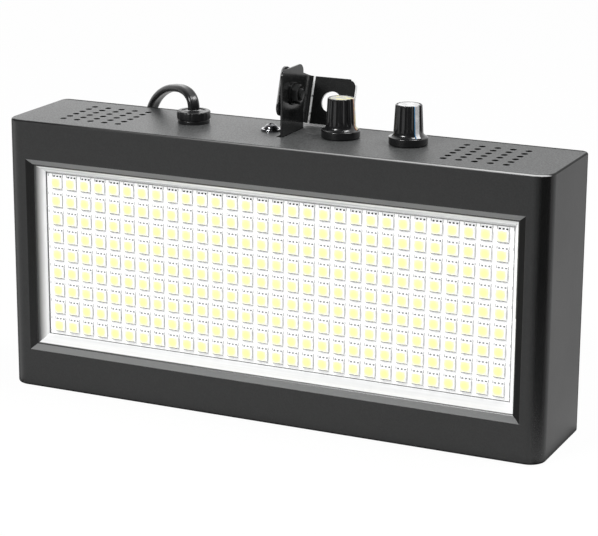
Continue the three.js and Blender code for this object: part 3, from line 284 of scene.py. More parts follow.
def case_paint(place):
    """Grained black plastic with dust, and painted shade and highlights on its edges, corners, vents and
    bevels.
    """
    (x, y, z), (outwards, backwards, upwards) = parts(place), facings(place)
    ahead = -backwards
    edge = 1 - rising(abs(outwards) | abs(backwards) | abs(upwards), 0.9, 0.985)
    fine, coarse, slow = noise(place, 0.0007, 3), noise(place, 0.0022, 2), noise(place, 0.05, 3)
    speck = rising(fine * 0.8 + coarse * 0.2, 0.36, 0.66)
    # Painted shade: the front right corner goes nearly black, more so higher up.
    corner = rising(outwards, 0.3, 0.5) * (1 - rising(outwards, 0.93, 0.98)) * rising(ahead, 0.1, 0.3)
    left_corner = rising(-outwards, 0.4, 0.7) * rising(ahead, 0.02, 0.1)
    # Painted light on the top's front edge: a dark line towards the left, and a pale highlight towards the
    # right.
    painted_crease_line, painted_highlight, strip = front_edge_painted_light(place, edge, upwards, ahead)
    # Painted shade: a dark line along the edge between the top and the right side.
    painted_dark_side_edge = edge * rising(upwards, 0.25, 0.4) * (x > case_high.x - 8 * mm)
    painted_dark_side_edge = painted_dark_side_edge * rising(outwards, 0.2, 0.35) * (1 - rising(ahead, 0.3, 0.5))
    # Painted shade: the inside of each vent is black, and Metallic takes its sheen away.
    in_hole = (z < top_z - 0.02 * mm) * (z > top_z - 2.1 * mm) * (1 - rising(upwards, 0.85, 0.95))
    in_hole = in_hole * (1 - strip) * (abs(x) < case_high.x - 3 * mm) * (abs(y) < case_high.y - 3 * mm)
    # Painted shade: a nearly black, matt band along the rim at the back.
    rim = rising(y + abs(outwards) * (1.4 * mm), back_y - 2.6 * mm, back_y - 2.2 * mm)
    rim = rim * (1 - rising(backwards, 0.9, 0.97))
    # Painted light: the level bevels are painted grey as if lit, and the right one near black as if shaded.
    bevel, level_half = window_bevels(place)
    colour = layered(
        between((0.0130, 0.0132, 0.0132), (0.0175, 0.0177, 0.0177), speck),
        ((0.106, 0.109, 0.108), rising(upwards, 0.6, 0.95) * speck),
        (0.003, corner * (rising(z, 0.01, 0.08) * 0.7 + 0.2)),
        (0.001, painted_crease_line),
        ((0.46, 0.46, 0.455), painted_highlight),
        (0.003, painted_dark_side_edge),
        (0.002, in_hole),
        (0.004, rim),
        ((0.175, 0.178, 0.177), bevel * level_half),
        (0.003, bevel * (1 - level_half) * (x > 0)),
    )
    rough = slow * 0.1 + 0.38 - edge * 0.18 + bevel * 0.6 + rim * 0.5 + painted_dark_side_edge * 0.5
    rough = rough + painted_crease_line * 0.6 + painted_highlight * 0.3 + in_hole * 0.6 + left_corner * 0.5
    height = (fine + coarse * 0.6) * (1 - edge * 0.95)
    return surface(colour, rough.clamped(), height, 0.000045) | {"Metallic": in_hole}


case_finish = finish("case_grain", case_paint, Specular_IOR_Level=0.42)
cover_paint = grained((0.018, 0.018, 0.019), (0.036, 0.037, 0.038), 0.0007, 0.00006)
cover_finish = finish("cover_grain", cover_paint, Specular_IOR_Level=0.4)
knob_paint = grained((0.005, 0.005, 0.0055), (0.010, 0.010, 0.0105), 0.0006, 0.00001, 0.15, 0.24)
knob_finish = finish("knob_satin", knob_paint, Coat_Weight=0.15, Coat_Roughness=0.25)
print("finishes:", case_finish.name, cover_finish.name, knob_finish.name)

# %% [markdown]
# ## The pale finishes
# The frame round the board is metal-coated plastic, brushed along each side. Painted shadow darkens its left
# side, and a painted shade line runs along its front edge. The board is white lacquer with fine printed
# lines, and its dark border and a line below each package are painted shadow. A package's window is yellow
# phosphor under clear resin, palest at its rim. The package is painted grey as shade below and at the foot
# of its right wall, and the solder joints above it are painted dark as shade. The pattern repeats with the
# grid, so one formula paints all of them. A faint glow on board, packages and phosphor is painted light.

# %% Reflector, board and package finishes
pitch_x, pitch_z = 7 * mm, 8 * mm
board_front = board_low.y + 1.6 * mm
shown_half = Vector((106.75 * mm, 0, 36.2 * mm))
slope_x, slope_z, slope_depth = 3.3 * mm, 3.8 * mm, 5.2 * mm


def reflector_paint(place):
    """Silver film, brushed along each side, with painted shade at the front and on the left towards the
    window.
    """
    x, y, z = parts(place)
    z = z - middle_z
    on_left, on_top = x < 0, z > 0
    from_side = abs(x) - shown_half.x + (x > 0) * right_lip
    from_top = abs(z) - shown_half.z
    on_side = from_side / slope_x > from_top / slope_z
    along = noise(place, 0.0014, 3, 0.6, (0.02, 1, 2.2))
    depth = from_top / slope_z
    middle = rising(depth, 0.06, 0.18) * (1 - rising(depth, 0.82, 0.94))
    streak = rising(along, 0.38, 0.62) * (on_top * 0.75 + 0.15) + 0.22 - on_top * 0.12
    brushed = between(0.95, (0.52, 0.53, 0.53), streak * middle)
    # Painted shadow: the left side darkens to near black towards the window.
    sides = between(0.95, (0.06, 0.061, 0.061), rising(from_side / slope_x, 0.25, 0.88) * on_left)
    # Painted shade: a dark line along the front edge, except on the left side.
    painted_gap_shade = 1 - rising(y - front_y - frame_depth - on_top * (0.35 * mm), 0.42 * mm, 0.6 * mm)
    colour = layered(brushed, (sides, on_side), (0.03, painted_gap_shade * (1 - on_left * on_side)))
    return surface(colour, along * 0.2 + 0.35, along, 0.00001)


def by_package(place):
    """How far a point is from the middle of the nearest package, across and up, and 1 above that middle."""
    x, _, z = parts(place)
    across = x.math("WRAP", pitch_x, 0) - pitch_x / 2
    up = (z - middle_z + pitch_z / 2).math("WRAP", pitch_z, 0)
    return abs(across), abs(up - pitch_z / 2), up > pitch_z / 2


def board_paint(place):
    """White lacquer: a line along its top, ticks above each package, and painted shadow at its border and
    below each package.
    """
    x, _, z = parts(place)
    z = z - middle_z
    cloud, fine = noise(place, 0.012, 3), noise(place, 0.0006, 2)
    # Painted shadow: a dark border where the reflector meets the board.
    painted_shadow_border = abs(x) + (x > 0) * right_lip > shown_half.x - 0.25 * mm
    painted_shadow_border = painted_shadow_border | (abs(z) > shown_half.z + 0.05 * mm)
    line = (z > shown_half.z - 0.45 * mm) * (z < shown_half.z - 0.1 * mm)
    off_x, off_z, above = by_package(place)
    # Painted shadow: a thin dark line just below each package.
    painted_shadow_below = (off_z > 2.8 * mm) * (off_z < 3.2 * mm) * (off_x < 2.4 * mm) * (1 - above)
    ticks = (off_x > 2.3 * mm) * (off_x < 2.75 * mm) * (off_z > 2.3 * mm) * (off_z < 3.6 * mm) * above
    white = between((0.95, 0.955, 0.95), (0.99, 0.99, 0.985), cloud)
    colour = layered(white, (0.16, line), (0.20, painted_shadow_border), (0.40, painted_shadow_below | ticks))
    # A faint glow of its own colour is painted light.
    return surface(colour, fine * 0.2 + 0.32, fine, 0.00001) | {"Emission Color": colour}


def phosphor_paint(place):
    """Yellow phosphor, paler towards the rim of its cup, with a faint painted glow."""
    grain = noise(place, 0.0004, 2)
    off_x, off_z, _ = by_package(place)
    share = (rising(reach(off_x, off_z), 1.0 * mm, 2.3 * mm) * 0.9 + grain * 0.1).clamped()
    colour = between((0.94, 0.93, 0.33), (0.95, 0.95, 0.56), share)
    # The glow is painted light.
    glow = between((1.0, 0.98, 0.36), (1.0, 1.0, 0.56), share)
    return {"Base Color": colour, "Emission Color": glow, "Normal": bump(grain, 0.00002)}


def package_paint(place):
    """White resin, yellowish where its face meets the cup; painted shade greys it below and at its right
    wall's foot.
    """
    grain, tint = noise(place, 0.0005, 2), noise(place, 0.009, 1)
    off_x, off_z, _ = by_package(place)
    (_, y, _), (outwards, backwards, upwards) = parts(place), facings(place)
    near = 1 - rising(off_x | off_z, 1.65 * mm, 2.45 * mm)
    foot = rising(y - board_front, -0.8 * mm, -0.6 * mm)
    # Painted shade: grey at the foot of the right wall and on faces that look down.
    colour = layered(
        between((0.94, 0.94, 0.93), (0.98, 0.98, 0.97), tint),
        ((0.94, 0.94, 0.54), near * rising(-backwards, 0.8, 0.95)),
        ((0.30, 0.305, 0.30), rising(outwards, 0.5, 0.9) * foot),
        ((0.24, 0.245, 0.24), rising(-upwards, 0.3, 0.6)),
    )
    # A faint glow of its own colour is painted light.
    return surface(colour, grain * 0.2 + 0.3, grain, 0.00001) | {"Emission Color": colour}


def solder_paint(place):
    """Tin, pale below the packages; painted shade makes it grey above each package and nearly black along the
    top row.
    """
    grain = noise(place, 0.0004, 3)
    above = by_package(place)[2]
    # Painted shade: the joints above each package are grey, and nearly black along the top row.
    tin = between((0.72, 0.73, 0.73), (0.26, 0.27, 0.27), above)
    colour = between(tin, (0.015, 0.015, 0.016), above * (parts(place)[2] - middle_z > 4 * pitch_z))
    return surface(colour, grain * 0.2 + 0.35, grain, 0.00002)


reflector_finish = finish("reflector_brushed", reflector_paint)
# The board, phosphor and packages glow faintly: painted light.
board_finish = finish("board_lacquer", board_paint, Emission_Strength=0.12)
phosphor_finish = finish("phosphor", phosphor_paint, Roughness=0.35, Emission_Strength=0.12)
package_finish = finish("package_plastic", package_paint, Emission_Strength=0.12)
solder_finish = finish("solder", solder_paint)
print("finishes:", reflector_finish.name, board_finish.name, phosphor_finish.name, package_finish.name)

# %% [markdown]
# ## Metal and rubber finishes
# The bracket is steel under thick gloss enamel: nearly mirror smooth, with the slow ripple that sprayed
# enamel has. Pale painted highlights run along the arm's edges, in its bend and a little in its hole, broken
# up in chips. Bright screws are plated steel with turning marks, and the bracket's own screw is dark nickel.
# The cord's sheath is soft PVC with a satin skin.

# %% Metal, enamel and cord finishes
tilt, fitting_y, pivot_z = math.radians(-18.3), 3.8 * mm, top_z + 16.5 * mm
hanging_x, hanging_radius = 9.2 * mm, 4.5 * mm


def metal_paint(dark, light, size, stretch, rough):
    """A paint function for bare metal with marks that run one way."""

    def paint(place):
        marks, stain = noise(place, size, 4, 0.6, stretch), noise(place, 0.004, 2)
        colour = between(dark, light, (marks * 0.6 + stain * 0.4).clamped())
        return surface(colour, stain * 0.12 + rough, marks, 0.00001)

    return paint


def enamel_paint(place):
    ripple, dust = noise(place, 0.0028, 2), noise(place, 0.0004, 2)
    colour = between((0.009, 0.0093, 0.0093), (0.015, 0.0154, 0.0154), ripple)
    return surface(colour, dust * 0.1 + 0.12, ripple, 0.00003)


def highlighted_enamel_paint(place):
    """Enamel with pale painted highlights along the arm's edges, in its bend and a little in its hole, in
    chips.
    """
    coat = enamel_paint(place)
    (x, y, z), (sideways, back, upwards) = parts(place), facings(place)
    y, z = y - fitting_y, z - pivot_z
    ahead = back * math.cos(tilt) + upwards * math.sin(tilt)
    along = upwards * math.cos(tilt) - back * math.sin(tilt)
    height = z * math.cos(tilt) - y * math.sin(tilt)
    by_bend = (x < 3 * mm) * (x > -1.25 * mm)
    painted_crease_line = by_bend * rising(sideways, 0.2, 0.26) * (1 - rising(sideways, 0.5, 0.56))
    edges = 1 - rising(abs(sideways) | abs(ahead) | abs(along), 0.84, 0.92)
    edges = edges * ((upwards < 0.45) | (sideways > 0.3)) * (1 - by_bend)
    edges = edges * (1 - (x < -1.25 * mm) * (height < -5.5 * mm))
    past_x, past_z = (x - 16.1 * mm) | 0, (abs(height) - 6.7 * mm) | 0
    corners = (reach(past_x, past_z) > 3.25 * mm) * (past_x > 0.8 * mm)
    low_edge = (height < -9.9 * mm) * (x > -3 * mm) * (ahead < 0.5) * (y > 12 * mm)
    front_edge = (x < -1.75 * mm) * (ahead < -0.3) * (height > -6 * mm)
    in_hole = (reach(x - hanging_x, height) < hanging_radius + 0.18 * mm) * (x > 3 * mm) * (ahead > -0.85)
    # Painted highlights: pale where bright lines and glints fall on the arm, broken up by noise.
    painted_highlight = edges | corners | low_edge | front_edge * 0.25 | in_hole * 0.3 | painted_crease_line
    painted_highlight = painted_highlight * rising(noise(place, 0.003, 3), 0.3, 0.42)
    coat["Base Color"] = between(coat["Base Color"], (0.78, 0.78, 0.77), painted_highlight)
    coat["Roughness"] = coat["Roughness"] + painted_highlight * 0.3
    return coat


def sheath_paint(place):
    skin, slow = noise(place, 0.0009, 3), noise(place, 0.012, 2)
    colour = between((0.005, 0.005, 0.0055), (0.010, 0.010, 0.0105), slow)
    return surface(colour, slow * 0.1 + 0.25, skin, 0.000004)


metals = {
    "plated_steel": ((0.42, 0.43, 0.45), (0.66, 0.67, 0.69), 0.0006, (1, 1, 0.2), 0.2),
    "dark_nickel": ((0.20, 0.20, 0.21), (0.36, 0.36, 0.37), 0.0006, (1, 1, 0.2), 0.1),
    "brass": ((0.46, 0.33, 0.12), (0.62, 0.47, 0.20), 0.0007, (0.2, 1, 1), 0.24),
    "aluminium": ((0.52, 0.53, 0.54), (0.68, 0.69, 0.70), 0.0008, (1, 1, 0.1), 0.34),
}
steel_finish, nickel_finish, brass_finish, aluminium_finish = (
    finish(name, metal_paint(*values), Metallic=1.0) for name, values in metals.items()
)
enamel_finish = finish("bracket_enamel", enamel_paint, Specular_IOR_Level=0.45)
highlighted_enamel_finish = finish("bracket_enamel_painted_highlights", highlighted_enamel_paint, Specular_IOR_Level=0.45)
fastener_finish = finish("pivot_black", enamel_paint, Specular_IOR_Level=0.12)
sheath_finish = finish("cord_sheath", sheath_paint)
print("finishes:", *metals, enamel_finish.name, sheath_finish.name)

# %% [markdown]
# ## From outline to mesh
# Moulded and pressed pieces are outlines that are made thick, cut by others, and have their edges rounded.
# These helpers make the raw meshes. Each piece that is ready becomes a plain mesh at the origin.

# %% Helpers for raw meshes
def mesh_object(name, points, faces):
    """A mesh object from points and faces, with its faces turned outwards."""
    mesh = bpy.data.meshes.new(name)
    mesh.from_pydata([tuple(p) for p in points], [], faces)
    shape = bmesh.new()
    shape.from_mesh(mesh)
    bmesh.ops.remove_doubles(shape, verts=shape.verts, dist=1e-7)
    bmesh.ops.recalc_face_normals(shape, faces=shape.faces)
    shape.to_mesh(mesh)
    shape.free()
    made = bpy.data.objects.new(name, mesh)
    bpy.context.scene.collection.objects.link(made)
    return made


def rounded_outline(half_width, half_height, radius, steps=8, low_radius=None):
    """The points of a rectangle with round corners, about 0, 0. Its two lower corners may differ."""
    points = []
    for quarter, (sx, sy) in enumerate(((1, 1), (-1, 1), (-1, -1), (1, -1))):
        bend = low_radius if low_radius is not None and sy < 0 else radius
        for i in range(steps + 1):
            angle = (quarter + i / steps) * math.pi / 2
            x = sx * (half_width - bend) + bend * math.cos(angle)
            points.append((x, sy * (half_height - bend) + bend * math.sin(angle)))
    return points


def loft(name, rings, closed_ends=True):
    """A skin through rings of points, all with the same number of points."""
    count = len(rings[0])
    faces = []
    for i in range(len(rings) - 1):
        for j in range(count):
            k = (j + 1) % count
            faces.append((i * count + j, i * count + k, (i + 1) * count + k, (i + 1) * count + j))
    if closed_ends:
        last = (len(rings) - 1) * count
        faces += [tuple(range(count)), tuple(range(last, last + count))]
    return mesh_object(name, [p for ring in rings for p in ring], faces)


def prism(name, outline, low, high, place):
    """An outline made thick from low to high. place turns (u, v, w) into a point."""
    return loft(name, [[place(u, v, w) for u, v in outline] for w in (low, high)])


def lathe(name, profile, sides, place, radius_at=None):
    """A profile of radius and height turned about its axis. radius_at may flute it."""
    turns = [2 * math.pi * i / sides for i in range(sides)]
    rings = []
    for radius, height in profile:
        reaches = [radius_at(radius, height, a) if radius_at else radius for a in turns]
        rings.append([place(r * math.cos(a), r * math.sin(a), height) for r, a in zip(reaches, turns)])
    return loft(name, rings)


def rod(radius, low, high, place, sides=40):
    """A closed cylinder, as a piece or as a tool that cuts a hole."""
    return lathe("rod", [(0, low), (radius, low), (radius, high), (0, high)], sides, place)


def upright(x=0.0, y=0.0, z=0.0):
    """Places a shape so that its height runs along Z."""
    return lambda u, v, w: (x + u, y + v, z + w)


def facing_back(x=0.0, y=0.0, z=0.0):
    """Places a shape so that its height runs along Y."""
    return lambda u, v, w: (x + u, y + w, z + v)


def facing_side(x=0.0, y=0.0, z=0.0):
    """Places a shape so that its height runs along X."""
    return lambda u, v, w: (x + w, y + u, z + v)


def round_end(radius, height, edge, steps=4):
    """The profile of a round edge between a side and a flat end that faces up."""
    angles = [math.pi / 2 * i / steps for i in range(steps + 1)]
    return [(radius - edge + edge * math.cos(a), height - edge + edge * math.sin(a)) for a in angles]


print("mesh helpers: ready")

# %% [markdown]
# ## Cutting, rounding and keeping
# A Boolean cuts one mesh with others, a Bevel rounds the edges that are sharper than an angle, and a
# Weighted Normal keeps broad faces flat beside small round edges. settled turns the result into a plain mesh.
# keep then names the piece, gives it its finish and its body, and hides the nodes that it stands for.

# %% Helpers that finish a piece
def settled(shape):
    """The object with its modifiers worked into a plain mesh."""
    bpy.context.view_layer.update()
    evaluated = shape.evaluated_get(bpy.context.evaluated_depsgraph_get())
    mesh = bpy.data.meshes.new_from_object(evaluated)
    shape.modifiers.clear()
    shape.data = mesh
    return shape


def cut(shape, *tools, operation="DIFFERENCE"):
    """Cuts a shape with closed tools, which are used up."""
    for tool in tools:
        boolean = shape.modifiers.new("cut", "BOOLEAN")
        boolean.operation = operation
        boolean.solver = "EXACT"
        boolean.object = tool
        settled(shape)
        bpy.data.objects.remove(tool)
    return shape


def joined(name, *shapes):
    """One object from several closed shapes that don't touch each other."""
    points, faces = [], []
    for shape in shapes:
        first = len(points)
        points += [v.co.copy() for v in shape.data.vertices]
        faces += [tuple(first + i for i in p.vertices) for p in shape.data.polygons]
        bpy.data.objects.remove(shape)
    return mesh_object(name, points, faces)


def round_edges(shape, width, segments=2, angle=30):
    """Rounds the edges that are sharper than an angle."""
    bevel = shape.modifiers.new("edges", "BEVEL")
    bevel.width = width
    bevel.segments = segments
    bevel.limit_method = "ANGLE"
    bevel.angle_limit = math.radians(angle)
    bevel.use_clamp_overlap = True
    return settled(shape)


def smooth(shape, angle=38):
    """Smooth shading, apart from edges sharper than an angle."""
    shape.data.shade_smooth()
    shape.data.set_sharp_from_angle(angle=math.radians(angle))
    weighted = shape.modifiers.new("normals", "WEIGHTED_NORMAL")
    weighted.keep_sharp = True
    weighted.weight = 80
    return settled(shape)


def keep(shape, name, look, slot, *stands_for, body="housing"):
    """A finished piece: its name, its finish, and what it is to the frame."""
    shape.name = name
    shape.data.name = name
    shape.data.materials.clear()
    shape.data.materials.append(look)
    if stands_for:
        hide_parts(*stands_for)
    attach(shape, body)
    print(f"{name}: {len(shape.data.polygons)} faces")
    return shape


# %% [markdown]
# ## What repeats
# The LED packages, their leads, the vents and the screws all stand in rows and columns. One Geometry Nodes
# tree lays a shape out on such a grid: a Mesh Grid gives the places, Instance on Points fills them, and
# Realize Instances and Set Material end it, because only real meshes leave this file.

# %% A tree for rows and columns
grid_inputs = {
    "Shape": "NodeSocketObject",
    "Finish": "NodeSocketMaterial",
    "Columns": "NodeSocketInt",
    "Rows": "NodeSocketInt",
    "Width": "NodeSocketFloat",
    "Height": "NodeSocketFloat",
    "Middle": "NodeSocketVector",
    "Turn": "NodeSocketVector",
}
grid_nodes = {
    "start": "NodeGroupInput",
    "grid": "GeometryNodeMeshGrid",
    "turned": "GeometryNodeTransform",
    "shape": "GeometryNodeObjectInfo",
    "placed": "GeometryNodeInstanceOnPoints",
    "real": "GeometryNodeRealizeInstances",
    "painted": "GeometryNodeSetMaterial",
    "end": "NodeGroupOutput",
}
grid_links = [
    ("start", "Columns", "grid", "Vertices X"),
    ("start", "Rows", "grid", "Vertices Y"),
    ("start", "Width", "grid", "Size X"),
    ("start", "Height", "grid", "Size Y"),
    ("grid", "Mesh", "turned", "Geometry"),
    ("start", "Middle", "turned", "Translation"),
    ("start", "Turn", "turned", "Rotation"),
    ("start", "Shape", "shape", "Object"),
    ("turned", "Geometry", "placed", "Points"),
    ("shape", "Geometry", "placed", "Instance"),
    ("placed", "Instances", "real", "Geometry"),
    ("real", "Geometry", "painted", "Geometry"),
    ("start", "Finish", "painted", "Material"),
    ("painted", "Geometry", "end", "Geometry"),
]
rows_and_columns = bpy.data.node_groups.new("rows_and_columns", "GeometryNodeTree")
for way in ("INPUT", "OUTPUT"):
    rows_and_columns.interface.new_socket("Geometry", in_out=way, socket_type="NodeSocketGeometry")
for name, kind in grid_inputs.items():
    rows_and_columns.interface.new_socket(name, in_out="INPUT", socket_type=kind)
made = {name: rows_and_columns.nodes.new(kind) for name, kind in grid_nodes.items()}
for source, out, target, into in grid_links:
    rows_and_columns.links.new(made[source].outputs[out], made[target].inputs[into])
print("tree:", rows_and_columns.name, "with", len(rows_and_columns.nodes), "nodes")

# %% Use of the tree
upright_grid = (math.pi / 2, 0.0, 0.0)


def repeat(name, *values):
    """The shape on every point of a grid, as one plain mesh, from the tree's inputs in their order."""
    made = bpy.data.objects.new(name, bpy.data.meshes.new(name))
    bpy.context.scene.collection.objects.link(made)
    modifier = made.modifiers.new("grid", "NODES")
    modifier.node_group = rows_and_columns
    given = dict(zip(grid_inputs, values))
    for item in rows_and_columns.interface.items_tree:
        if item.in_out == "INPUT" and item.name in given:
            modifier[item.identifier] = given[item.name]
    settled(made)
    bpy.data.objects.remove(given["Shape"])
    return made


print("repeat: ready")

# %% [markdown]
# ## The cord
# The cord is a flat twin lead, 5.2 mm wide. It rises from its bush, bows over the back edge, hangs down the
# back, and is put away behind the light in a tied coil that ends in its plug. Its route repeats the points of
# the frame's source. A formula adds the coil's turns, in on the lower layer and out on the upper one.

# %% Route of the cord
cord_width, cord_thick = 5.2 * mm, 3.2 * mm
cord_down = [
    (-46.5, 3.8, 124.5), (-46.5, 3.8, 126.0), (-47.5, 4.6, 128.6), (-50.4, 6.8, 130.7),
    (-55.0, 10.2, 131.5), (-60.1, 14.0, 130.9), (-64.5, 17.3, 129.8), (-68.9, 20.6, 127.9),
    (-73.1, 23.8, 125.3), (-77.0, 26.8, 121.9), (-80.3, 29.2, 117.2), (-82.6, 31.0, 110.5),
    (-83.7, 31.5, 101), (-84.0, 31.1, 88), (-84.0, 30.3, 70), (-84.0, 29.6, 52), (-84.0, 29.4, 36),
    (-84.0, 29.8, 23), (-84.0, 32.3, 13.0), (-84.0, 38.0, 6.0), (-84.0, 46.0, 3.2),
    (-84.0, 53.0, 3.5), (-84.01, 59.5, 3.7),
]
cord_tail = [
    (-15.99, 59.5, 9.4), (-16.0, 54.0, 9.3), (-14.7, 48.2, 9.0), (-10.8, 43.2, 8.4),
    (-5.0, 40.4, 7.6), (0.6, 40.0, 7.0), (5.7, 40.0, 6.85),
]
coil_middle = Vector((-50, 65, 0)) * mm
coil_loops, coil_pitch, coil_radius = 6.5, 3.7 * mm, 28 * mm
coil_low, coil_high = 3.7 * mm, 9.4 * mm
climb_share, dip_share, coil_dip = 0.2, 0.35, 2.4 * mm
print("cord: route of", len(cord_down) + len(cord_tail), "chosen points")


# %% A smooth curve through the chosen points
def through(points, steps):
    """Points of a centripetal curve through the given ones."""
    spots = [Vector(p) * mm for p in points]
    spots = [2 * spots[0] - spots[1], *spots, 2 * spots[-1] - spots[-2]]
    line = [spots[1]]
    for a, b, c, d in zip(spots, spots[1:], spots[2:], spots[3:]):
        ab, bc, cd = ((q - p).length ** 0.5 for p, q in ((a, b), (b, c), (c, d)))
        leaving = ((b - a) / ab - (c - a) / (ab + bc) + (c - b) / bc) * bc
        arriving = ((c - b) / bc - (d - b) / (bc + cd) + (d - c) / cd) * bc
        cubic = 2 * b - 2 * c + leaving + arriving
        square = -3 * b + 3 * c - 2 * leaving - arriving
        for t in ((i + 1) / steps for i in range(steps)):
            line.append(cubic * t**3 + square * t**2 + leaving * t + b)
    return line


def faced(line, facings_at):
    """Which way the cord's wide side faces at each point, from facings at shares of the length."""
    lengths = [0.0]
    for a, b in zip(line, line[1:]):
        lengths.append(lengths[-1] + (b - a).length)
    wides = []
    for share in (length / lengths[-1] for length in lengths):
        after = next(i for i, (s, _) in enumerate(facings_at) if s >= share - 1e-9)
        (s0, w0), (s1, w1) = facings_at[max(after - 1, 0)], facings_at[after]
        part = (share - s0) / (s1 - s0) if after else 1
        wides.append(Vector(w0).normalized().lerp(Vector(w1).normalized(), part))
    return wides


def coil_spot(turns):
    """A point of the coil's centre line, after so many turns."""
    from_turning = turns - coil_loops / 2
    away = abs(from_turning)
    dip = coil_dip * math.cos(away / dip_share * math.pi / 2) ** 2 if away < dip_share else 0
    radius = coil_radius - coil_loops * coil_pitch / 4 + coil_pitch * away - dip
    t = min(max((from_turning + climb_share) / (2 * climb_share), 0), 1)
    angle = math.pi - turns * 2 * math.pi
    height = coil_low + (coil_high - coil_low) * t * t * (3 - 2 * t)
    return coil_middle + Vector((radius * math.cos(angle), radius * math.sin(angle), height))


across, along_x, standing = (0.6, 0.8, 0), (1, 0, 0), (0, 0, 1)
down_line, tail_line = through(cord_down, 6), through(cord_tail, 5)
down_wides = faced(down_line, [(0, across), (0.4, across), (0.8, along_x), (0.93, standing), (1, standing)])
tail_wides = faced(tail_line, [(0, standing), (0.2, standing), (0.93, (0, -1, 0)), (1, (0, -1, 0))])
coil_line = [coil_spot(i / 40) for i in range(int(coil_loops * 40) + 1)]
cord_line = down_line + coil_line + tail_line
cord_wides = down_wides + [Vector(standing)] * len(coil_line) + tail_wides
cord_length = sum((b - a).length for a, b in zip(cord_line, cord_line[1:]))
print("cord:", round(cord_length, 3), "m long,", len(cord_line), "places")

# %% [markdown]
# The sheath's section is two round cores side by side, moulded into one, with a shallow groove between them.
# It is carried along the route with its wide side turned the way that the route says.

# %% The cord's sheath
def twin_section(steps=5, groove=0.22 * mm):
    """Half-width and half-thickness of the flat twin section, round the outside."""
    core = cord_thick / 2
    apart = cord_width / 2 - core
    points = []
    for first, side in ((-90, 1), (90, -1)):
        for i in range(2 * steps + 1):
            angle = math.radians(first + 90 * i / steps)
            points.append((side * apart + core * math.cos(angle), core * math.sin(angle)))
        points.append((0.0, (core - groove) * side))
    return points


rings = []
for i, (spot, wide) in enumerate(zip(cord_line, cord_wides)):
    run = (cord_line[min(i + 1, len(cord_line) - 1)] - cord_line[max(i - 1, 0)]).normalized()
    wide = (wide - run * wide.dot(run)).normalized()
    rings.append([spot + wide * u + wide.cross(run) * v for u, v in twin_section()])
cord = smooth(loft("cord", rings), 60)
keep(cord, "mains_cord_run", sheath_finish, "cord_black", "mains_cord", "cord_coil", "cord_tail")

# %% [markdown]
# The plug is a flat two-pin one. Its grip is a loft of rounded sections that swell from the cord's end to the
# shoulder. The boot behind it has ribs that let it bend, and each brass pin has a black sleeve at its root.

# %% Plug
plug_low, plug_high, plug_middle = span("plug_body")
pin_tip, pin_apart, sleeve_length = span("plug_pin_1")[1].x, 19 * mm, 10 * mm
grip_length, boot_ribs = 34 * mm, 7
grip_start = plug_high.x - grip_length
grip_half_y, grip_half_z = (plug_high.y - plug_low.y) / 2, (plug_high.z - plug_low.z) / 2
grip_shares = [  # along the grip, of its half-width, of its half-height, and how square
    (0, 0.42, 0.60, 2.4),
    (0.03, 0.55, 0.76, 3),
    (0.10, 0.66, 0.92, 4),
    (0.25, 0.78, 1.0, 5),
    (0.42, 0.93, 1.0, 6),
    (0.52, 1.0, 1.0, 7),
    (0.93, 1.0, 1.0, 7),
    (0.98, 0.985, 0.97, 7),
    (1.0, 0.94, 0.90, 6),
]
rings = []
for along, wide, high, power in grip_shares:
    ring = []
    for i in range(40):
        c, s = math.cos(2 * math.pi * i / 40), math.sin(2 * math.pi * i / 40)
        u = grip_half_y * wide * math.copysign(abs(c) ** (2 / power), c)
        v = grip_half_z * high * math.copysign(abs(s) ** (2 / power), s)
        ring.append((grip_start + grip_length * along, plug_middle.y + u, plug_middle.z + v))
    rings.append(ring)
boot_profile = [(0.0, plug_low.x)]
step = (grip_start - plug_low.x) / boot_ribs
for rib in range(boot_ribs):
    along, radius = plug_low.x + step * rib, (3.6 + 2.0 * rib / boot_ribs) * mm
    boot_profile += [(radius - 0.3 * mm, along), (radius, along + step * 0.12), (radius, along + step * 0.55)]
    boot_profile += [(radius - 0.6 * mm, along + step * share) for share in (0.65, 0.95)]
boot_profile += [(5.6 * mm, grip_start + 1 * mm), (5.6 * mm, grip_start + 6 * mm), (0.0, grip_start + 6 * mm)]
boot = lathe("boot", boot_profile, 32, facing_side(0, plug_middle.y, plug_middle.z))
plug = smooth(cut(loft("grip", rings), boot, operation="UNION"), 35)
keep(plug, "plug_grip", sheath_finish, "cord_black", "plug_body")

pins, sleeves = [], []
for side in (-1, 1):
    centre = facing_side(0, plug_middle.y + side * pin_apart / 2, plug_middle.z)
    root = plug_high.x - 1.5 * mm
    end = root + sleeve_length
    profile = [(0, end), (2 * mm, end), *round_end(2 * mm, pin_tip, 1.2 * mm, 5), (0, pin_tip)]
    pins.append(lathe("pin", profile, 24, centre))
    sleeves.append(rod(1.9 * mm, root, end, centre, 24))
pin_piece, sleeve_piece = smooth(joined("pins", *pins)), smooth(joined("sleeves", *sleeves))
keep(pin_piece, "plug_pins", brass_finish, "shaft_brass", "plug_pin_1", "plug_pin_2")
keep(sleeve_piece, "plug_pin_sleeves", sheath_finish, "cord_black")

# %% [markdown]
# A releasable strap holds the coil together at the side near the case.

